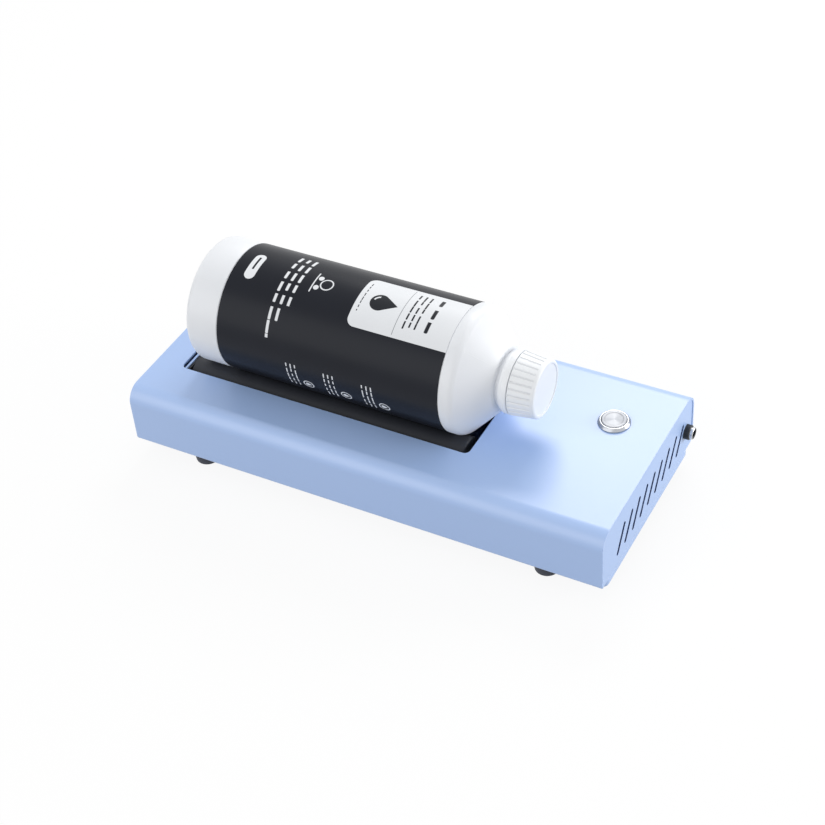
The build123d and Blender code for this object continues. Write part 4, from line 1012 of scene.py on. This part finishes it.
bottle = metres({"start": -145.65, "height": 94.84, "radius": 43.6, "wall": 1.5, "dish": 2,
                 "dishOuter": 36, "dishInner": 32, "dishRound": 1.2, "heel": 5, "recessStart": 25.6,
                 "recessEnd": 191.0, "recess": 0.5, "step": 0.25, "stepRound": 0.2, "body": 199.4,
                 "neckBase": 218.4, "neckTop": 22.5, "neck": 18.4, "neckEnd": 242.4,
                 "shoulderRound": 2.67, "rootRound": 1.2})


def makeBottle(plan):
    start = Vector((plan["start"], 0, plan["height"]))
    low = plan["radius"] - plan["recess"]
    step = plan["step"]
    stations = [(plan["dish"], plan["dishInner"]), (0, plan["dishOuter"]), (0, plan["radius"]),
                (plan["recessStart"] - step, plan["radius"]), (plan["recessStart"], low),
                (plan["recessEnd"], low), (plan["recessEnd"] + step, plan["radius"]),
                (plan["body"], plan["radius"]), (plan["neckBase"], plan["neckTop"]),
                (plan["neckBase"], plan["neck"]), (plan["neckEnd"], plan["neck"])]
    piece = turned("bottle_body", start, xAxis, stations, 192, (True, False))
    for index, key, segments in ((2, "heel", 12), (7, "shoulderRound", 10), (8, "rootRound", 5),
                                 (1, "dishRound", 4), (0, "dishRound", 4), (3, "stepRound", 2),
                                 (6, "stepRound", 2)):
        roundRing(piece, start, xAxis, stations[index], plan[key], segments)
    useModifier(piece, "SOLIDIFY", thickness=plan["wall"], offset=-1, use_even_offset=True)
    smooth(piece)
    dress(piece, "bottle", "bottle_shell", "bottle_plastic")


label = metres({"start": 26, "length": 164.6, "inner": 43.12, "outer": 43.52})


def makeLabel(plan):
    start = Vector((bottle["start"] + plan["start"], 0, bottle["height"]))
    stations = [(0, plan["inner"]), (0, plan["outer"]), (plan["length"], plan["outer"]),
                (plan["length"], plan["inner"])]
    piece = turnedRing("label_wrap", start, xAxis, stations, 192)
    smooth(piece)
    dress(piece, "bottle", "bottle_label", "label_film")


band = metres({"start": 221.4, "inner": 18.42, "narrow": 20.6, "narrowLength": 1.6, "slope": 0.6,
               "outer": 21.9, "length": 6.1, "soft": 0.3})


def makeBand(plan):
    start = Vector((bottle["start"] + plan["start"], 0, bottle["height"]))
    sloped = plan["narrowLength"] + plan["slope"]
    stations = [(0, plan["inner"]), (0, plan["narrow"]), (plan["narrowLength"], plan["narrow"]),
                (sloped, plan["outer"]), (plan["length"], plan["outer"]), (plan["length"], plan["inner"])]
    piece = turnedRing("neck_band", start, xAxis, stations, 144)
    for index in (1, 3, 4):
        roundRing(piece, start, xAxis, stations[index], plan["soft"], 3)
    smooth(piece)
    dress(piece, "bottle", "tamper_band", "cap_plastic")


cap = metres({"start": 228.2, "length": 17.9, "outer": 21.9, "faceOuter": 19.8, "bore": 18.8, "top": 2.4,
              "rim": 2.6, "sunk": 0.6, "sunkSlope": 0.2, "collar": 2.4, "skirt": 0.5, "edge": 1.6,
              "rimRound": 0.3, "skirtRound": 0.2, "grooveDepth": 0.5, "grooveSlope": 0.6})
capGrip = {"sides": 720, "pitch": 12, "first": 2.75, "halfWidth": 2.25}      # in degrees but for sides


def inGroove(face, start):
    arm = face.calc_center_median() - start
    turn = math.degrees(math.atan2(-arm.y, arm.z)) - capGrip["first"]
    offset = (turn + capGrip["pitch"] / 2) % capGrip["pitch"] - capGrip["pitch"] / 2
    return abs(offset) < capGrip["halfWidth"]


def makeCap(plan):
    start = Vector((bottle["start"] + plan["start"], 0, bottle["height"]))
    length = plan["length"]

    def skin(reach):
        return plan["outer"] + (plan["faceOuter"] - plan["outer"]) * reach / length
    gripStart, gripEnd = plan["skirt"], length - plan["collar"]
    rim = plan["faceOuter"] - plan["rim"]
    stations = [(length - plan["top"], plan["bore"]), (0, plan["bore"]), (0, plan["outer"]),
                (gripStart, skin(gripStart)), (gripEnd, skin(gripEnd)), (length, plan["faceOuter"]),
                (length, rim), (length - plan["sunk"], rim - plan["sunkSlope"])]
    piece = turned("screw_cap", start, xAxis, stations, capGrip["sides"])
    middleReach = (gripStart + gripEnd) / 2
    edit(piece)
    pick(piece, "FACE", lambda face: near((middle(face) - start).x, middleReach, 0.1 * mm)
         and inGroove(face, start))
    bpy.ops.mesh.inset(thickness=plan["grooveSlope"], depth=-plan["grooveDepth"])
    done()
    roundRing(piece, start, xAxis, stations[5], plan["edge"], 5)
    roundRing(piece, start, xAxis, stations[6], plan["rimRound"], 3)
    roundRing(piece, start, xAxis, stations[2], plan["skirtRound"], 2)
    smooth(piece, 35)
    dress(piece, "cap", "bottle_cap", "cap_plastic")


# The finishes are made first, and then each piece

for name, plan in metals.items():
    finishes[name] = brushedMetal(name, **plan)
for name, plan in mouldings.items():
    finishes[name] = moulded(name, **plan)
for name, plan in spunMetals.items():
    finishes[name] = spunMetal(name, **plan)
finishes["powder_coat"] = powderCoat(coat)
finishes["roller_rubber"] = rollerRubber(rubber)
finishes["label_film"] = labelFilm(film)
finishes["bottle_plastic"] = bottlePlastic(shell)
finishes["cap_plastic"] = capPlastic(closure)
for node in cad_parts.values():
    for slot in node.material_slots:
        slot.material = finishes[slot.material.name.split(".")[0]]
print("finishes made")

makeCover(casing)
makeEndPanel("end_plate_left", "left_end_panel", -1, endPanel)
makeEndPanel("end_plate_right", "right_end_panel", 1, endPanel)
makeTray(tray)
makeFeet(foot, footPlaces)
print("casing made")
makeSleeve("roller_rubber_front", "front_roller_sleeve", "front_roller", -1, roller)
makeSleeve("roller_rubber_rear", "rear_roller_sleeve", "rear_roller", 1, roller)
makeBezel(head)
makeButton(button)
makeSpring(spring)
makeJack(jack)
print("rollers, button and jack made")
makeBottle(bottle)
makeLabel(label)
makeBand(band)
makeCap(cap)
print("bottle made")
